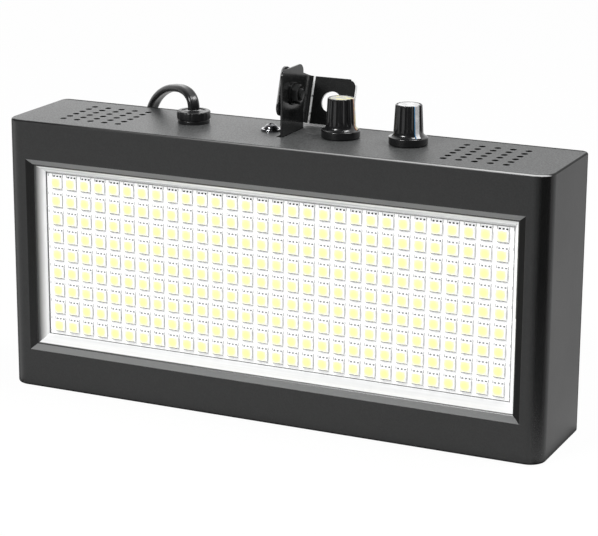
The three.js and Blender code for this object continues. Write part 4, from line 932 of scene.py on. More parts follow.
# %% Tie round the coil
tie_low, tie_high, tie_middle = span("cord_tie")
strap, half_strap, lock_height = 0.8 * mm, 2 * mm, 1.6 * mm
band_top, band_half_y = tie_high.z - lock_height, (tie_high.y - tie_low.y) / 2
rings = []
for inset, offset in ((0, -half_strap), (0, half_strap), (strap, half_strap), (strap, -half_strap)):
    outline = rounded_outline(band_half_y - inset, band_top / 2 - inset, 1.7 * mm - inset, 6)
    rings.append([(tie_middle.x + offset, tie_middle.y + u, band_top / 2 + v) for u, v in outline])
band = loft("band", [*rings, rings[0]], closed_ends=False)
lock_outline = rounded_outline(3 * mm, 2.5 * mm, 0.6 * mm, 3)
lock = prism("lock", lock_outline, band_top - strap / 2, tie_high.z, upright(tie_middle.x, tie_middle.y))
tie = smooth(round_edges(cut(band, lock, operation="UNION"), 0.2 * mm))
keep(tie, "coil_tie", sheath_finish, "cord_black", "cord_tie")
print("cord declared:", round(cord_length, 3), "m")

# %% [markdown]
# ## The case
# The case is one moulding: four walls with rounded edges, and a front wall with a sloped window. It could be
# modelled by extruding a box inwards. Here closed tools cut a solid block instead, as the mould's cores do,
# because every wall then has its real thickness, and the grid of vents can be one of the tools.

# %% Solid block of the case
front_corner, back_corner, edge_round, wall = 7.2 * mm, 3.6 * mm, 1.0 * mm, 2.0 * mm
edge_steps = 5
block_rings = []
for end, direction in ((case_low.z, 1), (case_high.z, -1)):
    rings = []
    for i in range(edge_steps + 1):
        angle = math.pi / 2 * i / edge_steps
        inset = edge_round * (1 - math.sin(angle))
        half_x, half_y = case_size.x / 2 - inset, case_size.y / 2 - inset
        outline = rounded_outline(half_x, half_y, back_corner - inset, 14, front_corner - inset)
        rings.append([(u, v, end + direction * edge_round * (1 - math.cos(angle))) for u, v in outline])
    block_rings += rings if direction > 0 else rings[::-1]
case = loft("case", block_rings)
print("block:", len(case.data.polygons), "faces")

# %% [markdown]
# The window is a tapered hole, and the bevel on its right is a little wider than the one on its left. Where
# it meets the front wall its edge is broken by a narrow flat, which draws the thin bright line of the edge.

# %% Window, hollow and back opening
edge_flat, cover_depth = 0.25 * mm, 2 * mm
recess_half = Vector((case_size.x / 2 - 9.5 * mm, 0, case_size.z / 2 - 5 * mm))


def rectangle_ring(half, y, grow=0.0, lip=0.0):
    """Four corners of a rectangle that faces the front, with its right side drawn in by a lip."""
    right, left, tall = half.x + grow - lip, half.x + grow, half.z + grow
    corners = ((right, tall), (-left, tall), (-left, -tall), (right, -tall))
    return [(x, y, middle_z + z) for x, z in corners]


window_rings = [
    rectangle_ring(window_half, front_y - 1 * mm, edge_flat),
    rectangle_ring(window_half, front_y, edge_flat),
    rectangle_ring(window_half, front_y + edge_flat * 0.6, -edge_flat * 0.2),
    rectangle_ring(throat_half, front_y + frame_depth, 0, right_lip),
    rectangle_ring(throat_half, front_y + frame_depth + 1 * mm, 0, right_lip),
]
half_depth = (case_size.y - frame_depth - cover_depth) / 2
inside = rounded_outline(case_size.x / 2 - wall, half_depth, back_corner - wall, 8, front_corner - wall)
hollow_place = upright(0, front_y + frame_depth + half_depth)
hollow = prism("hollow", inside, case_low.z + wall, case_high.z - wall, hollow_place)
recess = rounded_outline(recess_half.x, recess_half.z, 3 * mm, 6)
opening_place = facing_back(0, 0, middle_z)
opening = prism("opening", recess, back_y - cover_depth - 1 * mm, back_y + 1 * mm, opening_place)
cut(case, hollow, loft("window", window_rings), opening)
print("case:", len(case.data.polygons), "faces after its hollow")

# %% [markdown]
# Four bosses inside take the cover's screws. Each has a rib to the side wall and one to the top or bottom.

# %% Bosses for the cover's screws
boss_inset, boss_length, boss_radius, rib, bore_radius = 4.25 * mm, 10 * mm, 3.5 * mm, 1.6 * mm, 1.75 * mm
screw_half_x, screw_half_z = recess_half.x - boss_inset, recess_half.z - boss_inset
cover_screw_places = [
    (sx * screw_half_x, middle_z + sz * screw_half_z) for sx, sz in ((-1, 1), (1, 1), (1, -1), (-1, -1))
]
boss_low, boss_high = back_y - cover_depth - boss_length, back_y - cover_depth


def slab(low, high):
    """A block between two corners."""
    half_x, half_y = (high[0] - low[0]) / 2, (high[1] - low[1]) / 2
    outline = [(half_x, half_y), (-half_x, half_y), (-half_x, -half_y), (half_x, -half_y)]
    place = upright((low[0] + high[0]) / 2, (low[1] + high[1]) / 2)
    return prism("slab", outline, low[2], high[2], place)


for x, z in cover_screw_places:
    wall_x = math.copysign(case_size.x / 2 - wall / 2, x)
    wall_z = case_low.z + wall / 2 if z < middle_z else top_z - wall / 2
    boss = rod(boss_radius, boss_low, boss_high, facing_back(x, 0, z), 24)
    to_side = slab((min(x, wall_x), boss_low, z - rib / 2), (max(x, wall_x), boss_high, z + rib / 2))
    to_end = slab((x - rib / 2, boss_low, min(z, wall_z)), (x + rib / 2, boss_high, max(z, wall_z)))
    cut(case, boss, to_side, to_end, operation="UNION")
    cut(case, rod(bore_radius, boss_low + 1.5 * mm, back_y, facing_back(x, 0, z), 20))
print("case:", len(case.data.polygons), "faces with its bosses")

# %% [markdown]
# ## The vents
# A field of 5 by 6 round holes goes through the top on each side. Each hole is a small closed cylinder, a
# little wider at the top for its broken edge, and the grid tree lays them out.

# %% Vents and the other holes of the top
vent_columns, vent_rows, vent_radius, vent_from_side = 5, 6, 1.25 * mm, 22.2 * mm
field_x, field_y = (vent_columns - 1) * 6.65 * mm, (vent_rows - 1) * 5.4 * mm
bush_x, foot_screw_x, speed_x, sound_x = -46.5 * mm, -10 * mm, 21.7 * mm, 51.8 * mm
hole_low, hole_high = top_z - wall - 1 * mm, top_z + 1 * mm


def drill(radius, sides=20, x=0.0, y=0.0):
    """A closed tool for a round hole through the top, with a broken edge."""
    edge = 0.2 * mm
    profile = [(0, hole_low), (radius, hole_low), (radius, top_z - edge), (radius + edge, top_z)]
    profile += [(radius + edge, hole_high), (0, hole_high)]
    return lathe("drill", profile, sides, upright(x, y))


for side in (-1, 1):
    middle = (side * (case_size.x / 2 - vent_from_side - field_x / 2), 0, 0)
    field = (vent_columns, vent_rows, field_x, field_y, middle, (0.0, 0.0, 0.0))
    cut(case, repeat("vents", drill(vent_radius), case_finish, *field))
for radius, sides, x in ((6.1, 32, bush_x), (4.3, 24, speed_x), (4.3, 24, sound_x), (2.2, 20, foot_screw_x)):
    cut(case, drill(radius * mm, sides, x, fitting_y))
slot_outline = rounded_outline(1.55 * mm, 10.8 * mm, 0.4 * mm, 3)
cut(case, prism("slot", slot_outline, hole_low, hole_high, upright(-1.25 * mm, fitting_y)))
keep(smooth(case, 32), "case", case_finish, "housing_plastic", "housing_shell")

# %% [markdown]
# ## The back cover
# A flat cover closes the back. It lies flush in the opening with a thin gap all round, and four pan-head
# screws with cross recesses hold it. One screw is made, and the grid tree sets it at the four corners.

# %% Back cover
cover_low, cover_high, cover_middle = span("back_cover")
cover_half_x, cover_half_z = (cover_high.x - cover_low.x) / 2, (cover_high.z - cover_low.z) / 2
cover_outline = rounded_outline(cover_half_x, cover_half_z, 2.7 * mm, 6)
cover = prism("cover", cover_outline, back_y - cover_depth, back_y, facing_back(0, 0, cover_middle.z))
round_edges(cover, 0.35 * mm, 3)
for x, z in cover_screw_places:
    cut(cover, rod(bore_radius, back_y - 3 * mm, back_y + 1 * mm, facing_back(x, 0, z), 24))
keep(smooth(cover), "back_panel", cover_finish, "cover_plastic", "back_cover")

# %% Screws with a cross recess
def cross_screw(head_radius, head_height, shank_radius, length, place):
    """A screw whose head is a low dome with a cross recess."""
    profile = [(0, -length), (shank_radius, -length), (shank_radius, 0), (head_radius, 0)]
    for i in range(7):
        angle = math.pi / 2 * i / 7
        profile.append((head_radius * math.cos(angle), head_height * (0.25 + 0.75 * math.sin(angle))))
    screw = lathe("screw", [*profile, (0, head_height)], 28, place)
    arm, width, deep = head_radius * 0.52, head_radius * 0.15, head_height * 0.62
    for u, v in ((arm, width), (width, arm)):
        outline = [(u, v), (-u, v), (-u, -v), (u, -v)]
        cut(screw, prism("recess", outline, head_height - deep, head_height + 1 * mm, place))
    return screw


back_screw = cross_screw(2.8 * mm, 2 * mm, 1.45 * mm, 10 * mm, facing_back())
corners = (2, 2, 2 * screw_half_x, 2 * screw_half_z, (0, back_y, middle_z), upright_grid)
back_screws = smooth(repeat("back_screws", back_screw, steel_finish, *corners), 40)
keep(back_screws, "cover_screws", steel_finish, "screw_steel", *[f"back_screw_{i}" for i in (1, 2, 3, 4)])

# %% [markdown]
# ## The reflector and the LED board
# Behind the window stands a pale frame whose four sides slope back to the board, mitred at the corners. It is
# a thin skin with real thickness, and ends just short of the board, so a fine shadow line runs round it.

# %% Reflector
reflector_front, reflector_back, sheet = front_y + frame_depth + 0.3 * mm, board_front - 0.45 * mm, 1.1 * mm


def reflector_ring(y, grow=0.0):
    """The reflector's inner outline at a depth, grown outwards for its outer skin."""
    share = 1 - (y - front_y - frame_depth) / slope_depth
    half = Vector((shown_half.x + slope_x * share, 0, shown_half.z + slope_z * share))
    return rectangle_ring(half, y, grow, right_lip)


rings = [
    reflector_ring(reflector_front + 0.3 * mm, 0.02 * mm),
    reflector_ring(reflector_front, 0.25 * mm),
    reflector_ring(reflector_front, sheet - 0.2 * mm),
    reflector_ring(reflector_front + 0.3 * mm, sheet),
    reflector_ring(reflector_back, sheet),
    reflector_ring(reflector_back),
]
reflector = smooth(loft("reflector", [*rings, rings[0]], closed_ends=False), 20)
keep(reflector, "reflector_skin", reflector_finish, "reflector_white", "reflector_frame")

# %% [markdown]
# The board carries 30 by 9 packages. A package is a 5 mm square body with a round cup, a domed drop of
# phosphor in the cup, and six solder joints. Each is modelled once and laid out by the grid tree.

# %% LED board
led_columns, led_rows = 30, 9
led_field = ((led_columns - 1) * pitch_x, (led_rows - 1) * pitch_z, (0, 0, middle_z), upright_grid)
board_half_x, board_half_z = (board_high.x - board_low.x) / 2, (board_high.z - board_low.z) / 2
board_outline = rounded_outline(board_half_x, board_half_z, 1.6 * mm, 4)
plate = prism("plate", board_outline, board_front, board_high.y, facing_back(0, 0, middle_z))
round_edges(plate, 0.12 * mm, 1)
for sx, sz in ((-1, -1), (-1, 1), (1, -1), (1, 1)):
    place = facing_back(sx * (board_half_x - 2.8 * mm), 0, middle_z + sz * 30 * mm)
    cut(plate, rod(bore_radius, board_front - 1 * mm, board_high.y + 1 * mm, place, 20))
keep(smooth(plate), "board_plate", board_finish, "led_white", "led_board")

# %% LED packages
package_half, package_height = 2.5 * mm, 1.6 * mm
face_y = board_front - package_height
cup_radius, cup_depth = 2.12 * mm, 0.3 * mm


def on_board(shape, name, look, angle):
    """A shape repeated at every package, smoothed and kept."""
    placed = repeat(name, shape, look, led_columns, led_rows, *led_field)
    keep(smooth(placed, angle), name, look, "led_white", "led_board")


def square_ring(half, y, corner):
    """A round-cornered square that faces the front."""
    return [(u, y, v) for u, v in rounded_outline(half, half, corner, 2)]


package = loft(
    "package",
    [
        square_ring(package_half - 0.05 * mm, board_front, 0.3 * mm),
        square_ring(package_half, board_front - 0.6 * mm, 0.3 * mm),
        square_ring(package_half - 0.08 * mm, face_y + 0.22 * mm, 0.3 * mm),
        square_ring(package_half - 0.32 * mm, face_y, 0.25 * mm),
    ],
)
cup = [(0, face_y - 0.5 * mm), (cup_radius, face_y - 0.5 * mm), (cup_radius, face_y)]
cup += [(cup_radius - 0.25 * mm, face_y + cup_depth), (0, face_y + cup_depth)]
cut(package, lathe("cup", cup, 24, facing_back()))
on_board(package, "led_packages", package_finish, 30)

drop_back, drop_rim = face_y + cup_depth - 0.02 * mm, face_y + 0.08 * mm
dome = [(2.08 * mm * math.cos(a), drop_rim - 0.1 * mm * math.sin(a)) for a in (0.0, 0.5, 1.0, 1.35)]
drop = [(0, drop_back), (1.8 * mm, drop_back), *dome, (0, face_y - 0.02 * mm)]
on_board(lathe("drop", drop, 24, facing_back()), "led_phosphor", phosphor_finish, 60)

joints = []
foot = rounded_outline(0.4 * mm, 0.38 * mm, 0.13 * mm, 2)
for side in (-1, 1):
    for x in (-1.55 * mm, 0, 1.55 * mm):
        z = side * (package_half + 0.16 * mm)
        rings = []
        for share_u, share_v, proud in ((1, 1, 0), (0.9, 0.85, 0.28 * mm), (0.6, 0.5, 0.5 * mm)):
            rings.append([(x + u * share_u, board_front - proud, z + v * share_v) for u, v in foot])
        joints.append(loft("joint", rings))
on_board(joined("joints", *joints), "led_solder", solder_finish, 50)

# %% [markdown]
# ## The cord's bush
# The bush is one turned shape: a lower ring, a groove, a ribbed cap with a round shoulder, and a barb under
# the wall.

# %% Cord bush
bush_top = top_z + 5.2 * mm
bush_points = [(0, -5.3), (5.3, -5.3), (5.8, -3.7), (6.5, -2.3), (5.8, -2.3), (5.8, 0), (6.7, 0), (6.8, 0.15)]
bush_points += [(6.8, 1.3), (6.7, 1.45), (6.5, 1.5), (6.5, 1.75), (7.0, 1.85), (7.15, 2.1), (7.15, 3.6)]
bush_profile = [(radius * mm, top_z + height * mm) for radius, height in bush_points]
bush_profile += round_end(7.15 * mm, bush_top, 0.6 * mm, 6)
for radius, height in ((5.4, 0), (5.0, -0.3), (4.4, -0.35), (3.6, -0.1), (0, -0.1)):
    bush_profile.append((radius * mm, bush_top + height * mm))


def ribbed(radius, height, angle):
    """The bush's radius, pressed in between the grip ribs of its cap."""
    if height < top_z + 2 * mm or radius < 7 * mm:
        return radius
    return radius - 0.14 * mm * max(0.0, math.cos(angle * 20))


bush_piece = smooth(lathe("bush", bush_profile, 160, upright(bush_x, fitting_y), ribbed), 30)
keep(bush_piece, "cord_gland", sheath_finish, "cord_black", "cord_bush")

# %% [markdown]
# ## The knobs
# A knob is one profile turned about its axis: a skirt with a polished band, a hollow neck, and a grip that
# narrows upwards. radius_at presses 16 flutes into the grip. Its pale cap is a disc with a stripe that runs
# down the side, let into a slot that is cut with the same shape, a little larger. The caps are streaked, and
# a thin coloured line runs along one side of each stripe.

# %% One knob
knob_low, knob_height, skirt_radius = top_z + 0.3 * mm, 16.4 * mm, 8.1 * mm
knob_top = knob_low + knob_height
skirt_top, neck_top, neck_start = knob_low + 3.2 * mm, knob_low + 5.3 * mm, skirt_radius - 0.6 * mm
grip_foot, grip_head, flute_depth, flutes = 6.1 * mm, 5.5 * mm, 0.45 * mm, 16


def around(x, y, angle):
    """Places a shape upright, turned about its own axis."""
    c, s = math.cos(angle), math.sin(angle)
    return lambda u, v, w: (x + u * c - v * s, y + u * s + v * c, w)


def fluted(radius, height, angle):
    """The grip's radius, pressed in at each flute. Its top rim stays nearly round."""
    if radius < 5 * mm or height < neck_top - 0.2 * mm:
        return radius
    groove = max(0.0, math.cos(angle * flutes)) ** 1.5
    rise = min(1.0, (height - neck_top + 0.2 * mm) / (0.8 * mm))
    fall = min(1.0, max(0.0, (knob_top - height) / (0.5 * mm)))
    return radius - flute_depth * groove * rise * (0.4 + 0.6 * fall)


def knob_profile():
    """The knob from the top of its bore, round the outside, to the seat of its cap."""
    bore_top, pocket_top, pocket_low = knob_low + 13.4 * mm, top_z + 4.5 * mm, knob_low + 2.8 * mm
    inside = [(0, bore_top), (3.3 * mm, bore_top), (3.3 * mm, pocket_top), (4.6 * mm, pocket_top)]
    inside += [(4.6 * mm, pocket_low), (6.8 * mm, pocket_low), (6.8 * mm, knob_low)]
    skirt = [(skirt_radius - 0.4 * mm, knob_low), (skirt_radius - 0.1 * mm, knob_low + 0.12 * mm)]
    skirt += [(skirt_radius, knob_low + 0.4 * mm), *round_end(skirt_radius, skirt_top, 0.5 * mm, 5)]
    neck = []
    for t in (i / 6 for i in range(1, 7)):
        radius = neck_start - (neck_start - grip_foot) * math.sin(t * math.pi / 2)
        neck.append((radius, skirt_top + (neck_top - skirt_top) * t**1.4))
    grip = [
        (grip_foot + (grip_head - grip_foot) * i / 12, neck_top + (knob_top - neck_top) * i / 12)
        for i in range(1, 12)
    ]
    seat = [(4.8 * mm, knob_top), (4.8 * mm, knob_top - 1.1 * mm), (0, knob_top - 1.1 * mm)]
    return inside + skirt + neck + grip + round_end(grip_head, knob_top, 0.35 * mm, 4) + seat


def pointer_bar(place, room, proud):
    """The cap's stripe down the grip, with room round it for the tool that cuts its slot."""
    outline = [
        (grip_head - room, skirt_top - room),
        (neck_start - 0.4 * mm + room + proud, skirt_top - room),
        (neck_start - 0.2 * mm + room + proud, skirt_top + 0.2 * mm),
        (grip_foot + 0.5 * mm + proud, skirt_top + 0.95 * mm),
        (grip_foot + 0.18 * mm + proud, skirt_top + 1.7 * mm),
        (grip_foot + 0.1 * mm + proud, neck_top),
        (grip_head + 0.1 * mm + proud, knob_top + proud),
        (3.5 * mm, knob_top + proud),
        (3.5 * mm, knob_top - 0.8 * mm - room),
        (grip_head - 0.7 * mm - room, knob_top - 0.8 * mm - room),
    ]
    return prism("bar", outline, -1.1 * mm - room, 1.1 * mm + room, lambda u, v, w: place(u, w, v))


def make_knob(name, x, pointer, look):
    """A knob and its cap, at its place along the top and turned to its pointer."""
    place, body = around(x, fitting_y, pointer), f"{name}_control"
    grip = lathe("grip", knob_profile(), flutes * 12, place, fluted)
    smooth(cut(grip, pointer_bar(place, 0.15 * mm, 1 * mm)), 35)
    keep(grip, f"{name}_knob_body", knob_finish, "knob_black", f"{name}_knob", body=body)
    disc = [(0, knob_top - 0.8 * mm), (4.5 * mm, knob_top - 0.8 * mm)]
    disc += [*round_end(4.5 * mm, knob_top, 0.2 * mm, 3), (0, knob_top)]
    cap = cut(lathe("cap", disc, 64, place), pointer_bar(place, 0, 0), operation="UNION")
    smooth(round_edges(cap, 0.12 * mm, 2, 40), 30)
    keep(cap, f"{name}_knob_disc", look, "knob_pale", f"{name}_knob_cap", body=body)


def cap_paint(dark, light, x, pointer, rim):
    """A paint function for a pale plastic cap whose stripe has a thin coloured line on one side."""

    def paint(place):
        cloud, fine = noise(place, 0.003, 3), noise(place, 0.0005, 2)
        u, v, _ = parts(place)
        u, v = u - x, v - fitting_y
        along = u * math.cos(pointer) + v * math.sin(pointer)
        aside = v * math.cos(pointer) - u * math.sin(pointer)
        line = (along > 4.9 * mm) * (aside < -0.85 * mm)
        colour = between(between(dark, light, rising(cloud, 0.48, 0.56)), rim, line)
        return surface(colour, fine * 0.16 + 0.3, fine, 0.00001)

    return paint


speed_pointer, sound_pointer = math.radians(9.7), math.radians(-33.2)
grey, ivory, rust, blue = (0.36, 0.36, 0.34), (0.62, 0.58, 0.27), (0.55, 0.26, 0.14), (0.07, 0.20, 0.36)
speed_cap_paint = cap_paint(grey, ivory, speed_x, speed_pointer, rust)
sound_cap_paint = cap_paint(0.50, 0.62, sound_x, sound_pointer, blue)
make_knob("speed", speed_x, speed_pointer, finish("cap_ivory", speed_cap_paint))
make_knob("sound", sound_x, sound_pointer, finish("cap_white", sound_cap_paint))

# %% [markdown]
# ## The bracket
# The ear and the arm are strips of 1 mm steel, bent once. Each is an outline of the bend made wide, then
# cropped to its rounded end by intersecting it with a rounded plate, drilled, and given a pressed edge.

# %% Bracket outlines
metal, pivot_hole = 1.0 * mm, 2.8 * mm


def bent_strip(leg_v, leg_u, bend, steps=8):
    """Two legs of sheet at a right angle with a round bend, from its outer corner at 0, 0."""
    centre = metal + bend
    turns = [math.pi / 2 * i / steps for i in range(steps + 1)]
    inner = [(centre - bend * math.sin(t), centre - bend * math.cos(t)) for t in turns]
    outer = [(centre - centre * math.cos(t), centre - centre * math.sin(t)) for t in turns]
    return [(leg_u, 0), (leg_u, metal), *inner, (metal, leg_v), (0, leg_v), *outer]


def on_arm(x, y, z):
    """A point of the arm's own frame, whose origin is the pivot, set on the ear and tilted."""
    c, s = math.cos(tilt), math.sin(tilt)
    return (x, fitting_y + y * c - z * s, pivot_z + y * s + z * c)


def arm_sideways(y=0.0):
    """Places a shape on the arm so that its height runs along the pivot."""
    return lambda u, v, w: on_arm(w, y + u, v)


def arm_backwards(x):
    """Places a shape on the arm so that its height runs towards its back."""
    return lambda u, v, w: on_arm(x + u, w, v)


print("bracket outlines: ready, sheet", round(metal / mm, 2), "mm thick")


# %% Ear and foot
ear_half, ear_top, foot_reach = 10.5 * mm, top_z + 27.7 * mm, 17 * mm
foot_z = top_z - wall - 0.3 * mm - metal
rise = ear_top - foot_z
strip = bent_strip(rise, foot_reach, 1.5 * mm)
ear = prism("ear", strip, fitting_y - ear_half, fitting_y + ear_half, lambda u, v, w: (-u, w, foot_z + v))
ear_face = rounded_outline(ear_half, rise, 3.5 * mm, 10)
rounding = prism("rounding", ear_face, -foot_reach - 1 * mm, 1 * mm, facing_side(0, fitting_y, foot_z))
cut(ear, rounding, operation="INTERSECT")
pivot_bore = rod(pivot_hole, -3 * mm, 1 * mm, facing_side(0, fitting_y, pivot_z))
cut(ear, pivot_bore, rod(2.2 * mm, foot_z - 1 * mm, foot_z + 3 * mm, upright(foot_screw_x, fitting_y)))
smooth(round_edges(ear, 0.22 * mm, 3), 30)
keep(ear, "bracket_ear", enamel_finish, "bracket_black", "hanger_foot")

# %% Arm
arm_inner, arm_outer = -metal - 0.3 * mm, -2 * metal - 0.3 * mm
before, behind, arm_half, arm_reach = 10 * mm, 19.9 * mm + metal / 2, 10.3 * mm, 19.7 * mm
side_long, rear_long = before + behind, arm_reach - arm_outer
strip = bent_strip(side_long, rear_long, 2.4 * mm)
arm = prism("arm", strip, -arm_half, arm_half, lambda u, v, w: on_arm(arm_outer + u, behind - v, w))
side_outline = rounded_outline(side_long, arm_half, 3.6 * mm, 10)
rear_outline = rounded_outline(rear_long, arm_half, 3.6 * mm, 10)
side_place, rear_place = arm_sideways(side_long - before), arm_backwards(arm_reach - rear_long)
side_face = prism("side", side_outline, arm_outer - 1 * mm, arm_reach + 1 * mm, side_place)
rear_face = prism("rear", rear_outline, -before - 1 * mm, behind + 1 * mm, rear_place)
cut(arm, side_face, rear_face, operation="INTERSECT")
pivot_bore = rod(pivot_hole, arm_outer - 1 * mm, arm_inner + 1 * mm, arm_sideways())
cut(arm, pivot_bore, rod(hanging_radius, behind - 3 * mm, behind + 1 * mm, arm_backwards(hanging_x), 56))
smooth(round_edges(arm, 0.22 * mm, 3), 30)
keep(arm, "bracket_arm", highlighted_enamel_finish, "bracket_black", "hanger_arm", body="hanger")

# %% Pivot bolt, washer and nut
def washer(points, place, low, bore):
    """A ring from its profile in millimetres, above low, with a bore."""
    ring = lathe("ring", [(r * mm, low + h * mm) for r, h in points], 48, place)
    return smooth(cut(ring, rod(bore, low - 1 * mm, low + 2 * mm, place)))


def hexagon_nut(radius, bore, low, high, place):
    """A hexagon nut whose corners are turned down to a cone at both ends."""
    corner = [(radius * math.sin(math.pi / 3 * i), radius * math.cos(math.pi / 3 * i)) for i in range(6)]
    nut = prism("nut", corner, low, high, place)
    flat = radius * math.cos(math.pi / 6)
    slope = (radius - flat) * 0.6
    cone = [(0, low), (flat, low), (radius, low + slope), (radius, high - slope), (flat, high), (0, high)]
    cut(nut, lathe("cone", cone, 60, place), operation="INTERSECT")
    return smooth(cut(nut, rod(bore, low - 1 * mm, high + 1 * mm, place)))


pivot_place = facing_side(0, fitting_y, pivot_z)
bolt_root, head_radius, thread_end, threads = arm_outer - 0.3 * mm, 4.4 * mm, 4.2 * mm, 9
bolt_profile = [(0, bolt_root - 2.4 * mm)]
for turn in (math.pi / 2 * i / 8 for i in range(1, 9)):
    bolt_profile.append((head_radius * math.sin(turn), bolt_root - 0.5 * mm - 1.9 * mm * math.cos(turn)))
bolt_profile += [(head_radius, bolt_root), (2.5 * mm, bolt_root)]
step = (thread_end + 0.1 * mm) / threads
for low in (-0.1 * mm + step * i for i in range(threads)):
    bolt_profile += [(2.5 * mm, low), (2.5 * mm, low + step * 0.2), (2.2 * mm, low + step * 0.6)]
bolt_profile += [(2.2 * mm, thread_end), (2.0 * mm, thread_end + 0.2 * mm), (0, thread_end + 0.2 * mm)]
bolt = smooth(lathe("bolt", bolt_profile, 40, pivot_place), 40)
keep(bolt, "pivot_pin", fastener_finish, "bracket_black", "pivot_bolt")
disc = washer([(0, 0), (4.7, 0), (4.8, 0.1), (4.8, 0.7), (4.7, 0.8), (0, 0.8)], pivot_place, 0, pivot_hole)
keep(disc, "pivot_disc", fastener_finish, "bracket_black", "pivot_washer")
nut = hexagon_nut(4.3 * mm, pivot_hole, 0.8 * mm, 3.4 * mm, pivot_place)
keep(nut, "pivot_hexagon", fastener_finish, "bracket_black", "pivot_nut")

# %% Bracket screw
screw_place = upright(foot_screw_x, fitting_y, top_z)
dome = smooth(cross_screw(3.0 * mm, 3 * mm, 1.9 * mm, 8 * mm, screw_place))
keep(dome, "bracket_fixing", nickel_finish, "screw_steel", "hanger_screw")
flange = [(0, 0.02), (4.2, 0.02), (4.3, 0.12), (4.3, 0.5), (4.1, 0.8), (2.9, 0.85), (0, 0.85)]
flange_piece = lathe("flange", [(r * mm, h * mm) for r, h in flange], 40, screw_place)
cut(flange_piece, rod(3.3 * mm, -1 * mm, 2 * mm, screw_place))
keep(smooth(flange_piece), "bracket_fixing_rim", nickel_finish, "screw_steel", "hanger_screw")

# %% [markdown]
# ## What shows a little
# Between a knob and the case its washer and nut can just be seen. They are built again with turned corners.

# %% Washers and nuts under the knobs
ring_points = [(0, 0), (6.2, 0), (6.3, 0.08), (6.3, 0.42), (6.2, 0.5), (0, 0.5)]
for name, x in (("speed", speed_x), ("sound", sound_x)):
    place = upright(x, fitting_y)
    ring = washer(ring_points, place, top_z, 4.3 * mm)
    keep(ring, f"{name}_washer", steel_finish, "screw_steel", f"{name}_pot_washer")
    nut = hexagon_nut(6.2 * mm, 4.3 * mm, top_z + 0.5 * mm, top_z + 2.5 * mm, place)
    keep(nut, f"{name}_nut", steel_finish, "screw_steel", f"{name}_pot_nut")

# %% [markdown]
# ## Inside the case
# The pieces inside keep the frame's own shapes and get finishes of their own: green board with copper traces
# under the lacquer, printed sleeves on the capacitors, a glass fuse, grey ferrite, tape and bare metal.

# %% Finishes of the pieces inside
def plain_paint(dark, light, size, depth, rough):
    """A paint function for moulded or wrapped pieces with a cloudy surface."""

    def paint(place):
        cloud, fine = noise(place, size, 3), noise(place, size / 6, 2)
        return surface(between(dark, light, cloud), fine * 0.2 + rough, fine, depth)

    return paint


def circuit_paint(place):
    """Green lacquer over copper tracks that run across and up the board."""
    x, _, z = parts(place)
    lane = noise(place, 0.012, 1)
    track = ((z * 420 + lane * 2).math("FRACT") > 0.72) | ((x * 310 + lane * 2).math("FRACT") > 0.8)
    return surface(between((0.018, 0.10, 0.03), (0.04, 0.19, 0.06), track), lane * 0.1 + 0.3, track, 0.00004)


def tape_paint(place):
    """Yellow tape in turns that overlap a little."""
    turn, cloud = (parts(place)[2] * 260).math("FRACT"), noise(place, 0.006, 2)
    return surface(between((0.66, 0.42, 0.03), (0.80, 0.56, 0.07), cloud), cloud * 0.2 + 0.35, turn, 0.00008)


def glass_paint(place):
    """A glass tube, a little smoky, between bright metal caps."""
    low, high, middle = span("fuse")
    cloud = noise(place, 0.003, 2)
    capped = abs(parts(place)[0] - middle.x) > (high.x - low.x) / 2 - 5 * mm
    colour = between((0.75, 0.78, 0.78), (0.60, 0.61, 0.62), capped)
    return surface(colour, cloud * 0.12 + 0.08, cloud, 0.00001) | {"Metallic": capped}


plain_looks = {
    "capacitor_sleeve": ((0.012, 0.016, 0.03), (0.03, 0.036, 0.06), 0.006, 0.00001, 0.25),
    "chip_resin": ((0.010, 0.010, 0.011), (0.022, 0.022, 0.023), 0.002, 0.00003, 0.45),
    "ferrite": ((0.03, 0.03, 0.032), (0.06, 0.06, 0.062), 0.0015, 0.00005, 0.6),
    "terminal_green": ((0.02, 0.16, 0.07), (0.04, 0.24, 0.11), 0.004, 0.00002, 0.35),
}
leads = {
    "led_lead_plus": ((0.42, 0.015, 0.012), (0.55, 0.03, 0.02)),
    "led_lead_minus": ((0.008, 0.008, 0.009), (0.018, 0.018, 0.019)),
    "mains_lead_live": ((0.13, 0.05, 0.02), (0.19, 0.08, 0.035)),
    "mains_lead_neutral": ((0.02, 0.06, 0.28), (0.035, 0.10, 0.40)),
}
plain_looks |= {f"{lead}_skin": (*tones, 0.004, 0.00001, 0.3) for lead, tones in leads.items()}
plain = {name: finish(name, plain_paint(*values)) for name, values in plain_looks.items()}
inside_screws = [f"{kind}_screw_{i}" for kind in ("board", "driver") for i in (1, 2, 3, 4)]
wearers = [
    (finish("circuit_board", circuit_paint), "driver_board"),
    (finish("winding_tape", tape_paint), "transformer_winding"),
    (finish("fuse_glass", glass_paint), "fuse"),
    (plain["capacitor_sleeve"], "smoothing_capacitor", "timing_capacitor"),
    (plain["chip_resin"], "rectifier", "control_chip", "power_transistor"),
    (plain["ferrite"], "transformer_core"),
    (plain["terminal_green"], "terminal_block"),
    (aluminium_finish, "heat_sink", "microphone", "speed_pot_body", "sound_pot_body"),
    (brass_finish, "speed_pot_shaft", "sound_pot_shaft"),
    (steel_finish, "hanger_nut", *inside_screws),
    *[(plain[f"{lead}_skin"], lead) for lead in leads],
]
for look, *names in wearers:
    for name in names:
        nodes[name].data.materials.clear()
        nodes[name].data.materials.append(look)
print("inside:", sum(len(names) for _, *names in wearers), "pieces finished")

# %% [markdown]
# ## Light and ground
# The photograph has a pure white ground. Everything behind the light is white too, and its black plastic
# mirrors that on its top and its side, while the camera's side of the room is dark. So the ground glows where
# the camera or a mirroring surface looks at it. For mirrored rays it is dark in front and to the right of the
# case and under it, and it still takes the object's shadow. The lamps stay at a level at which colours render
# as written.

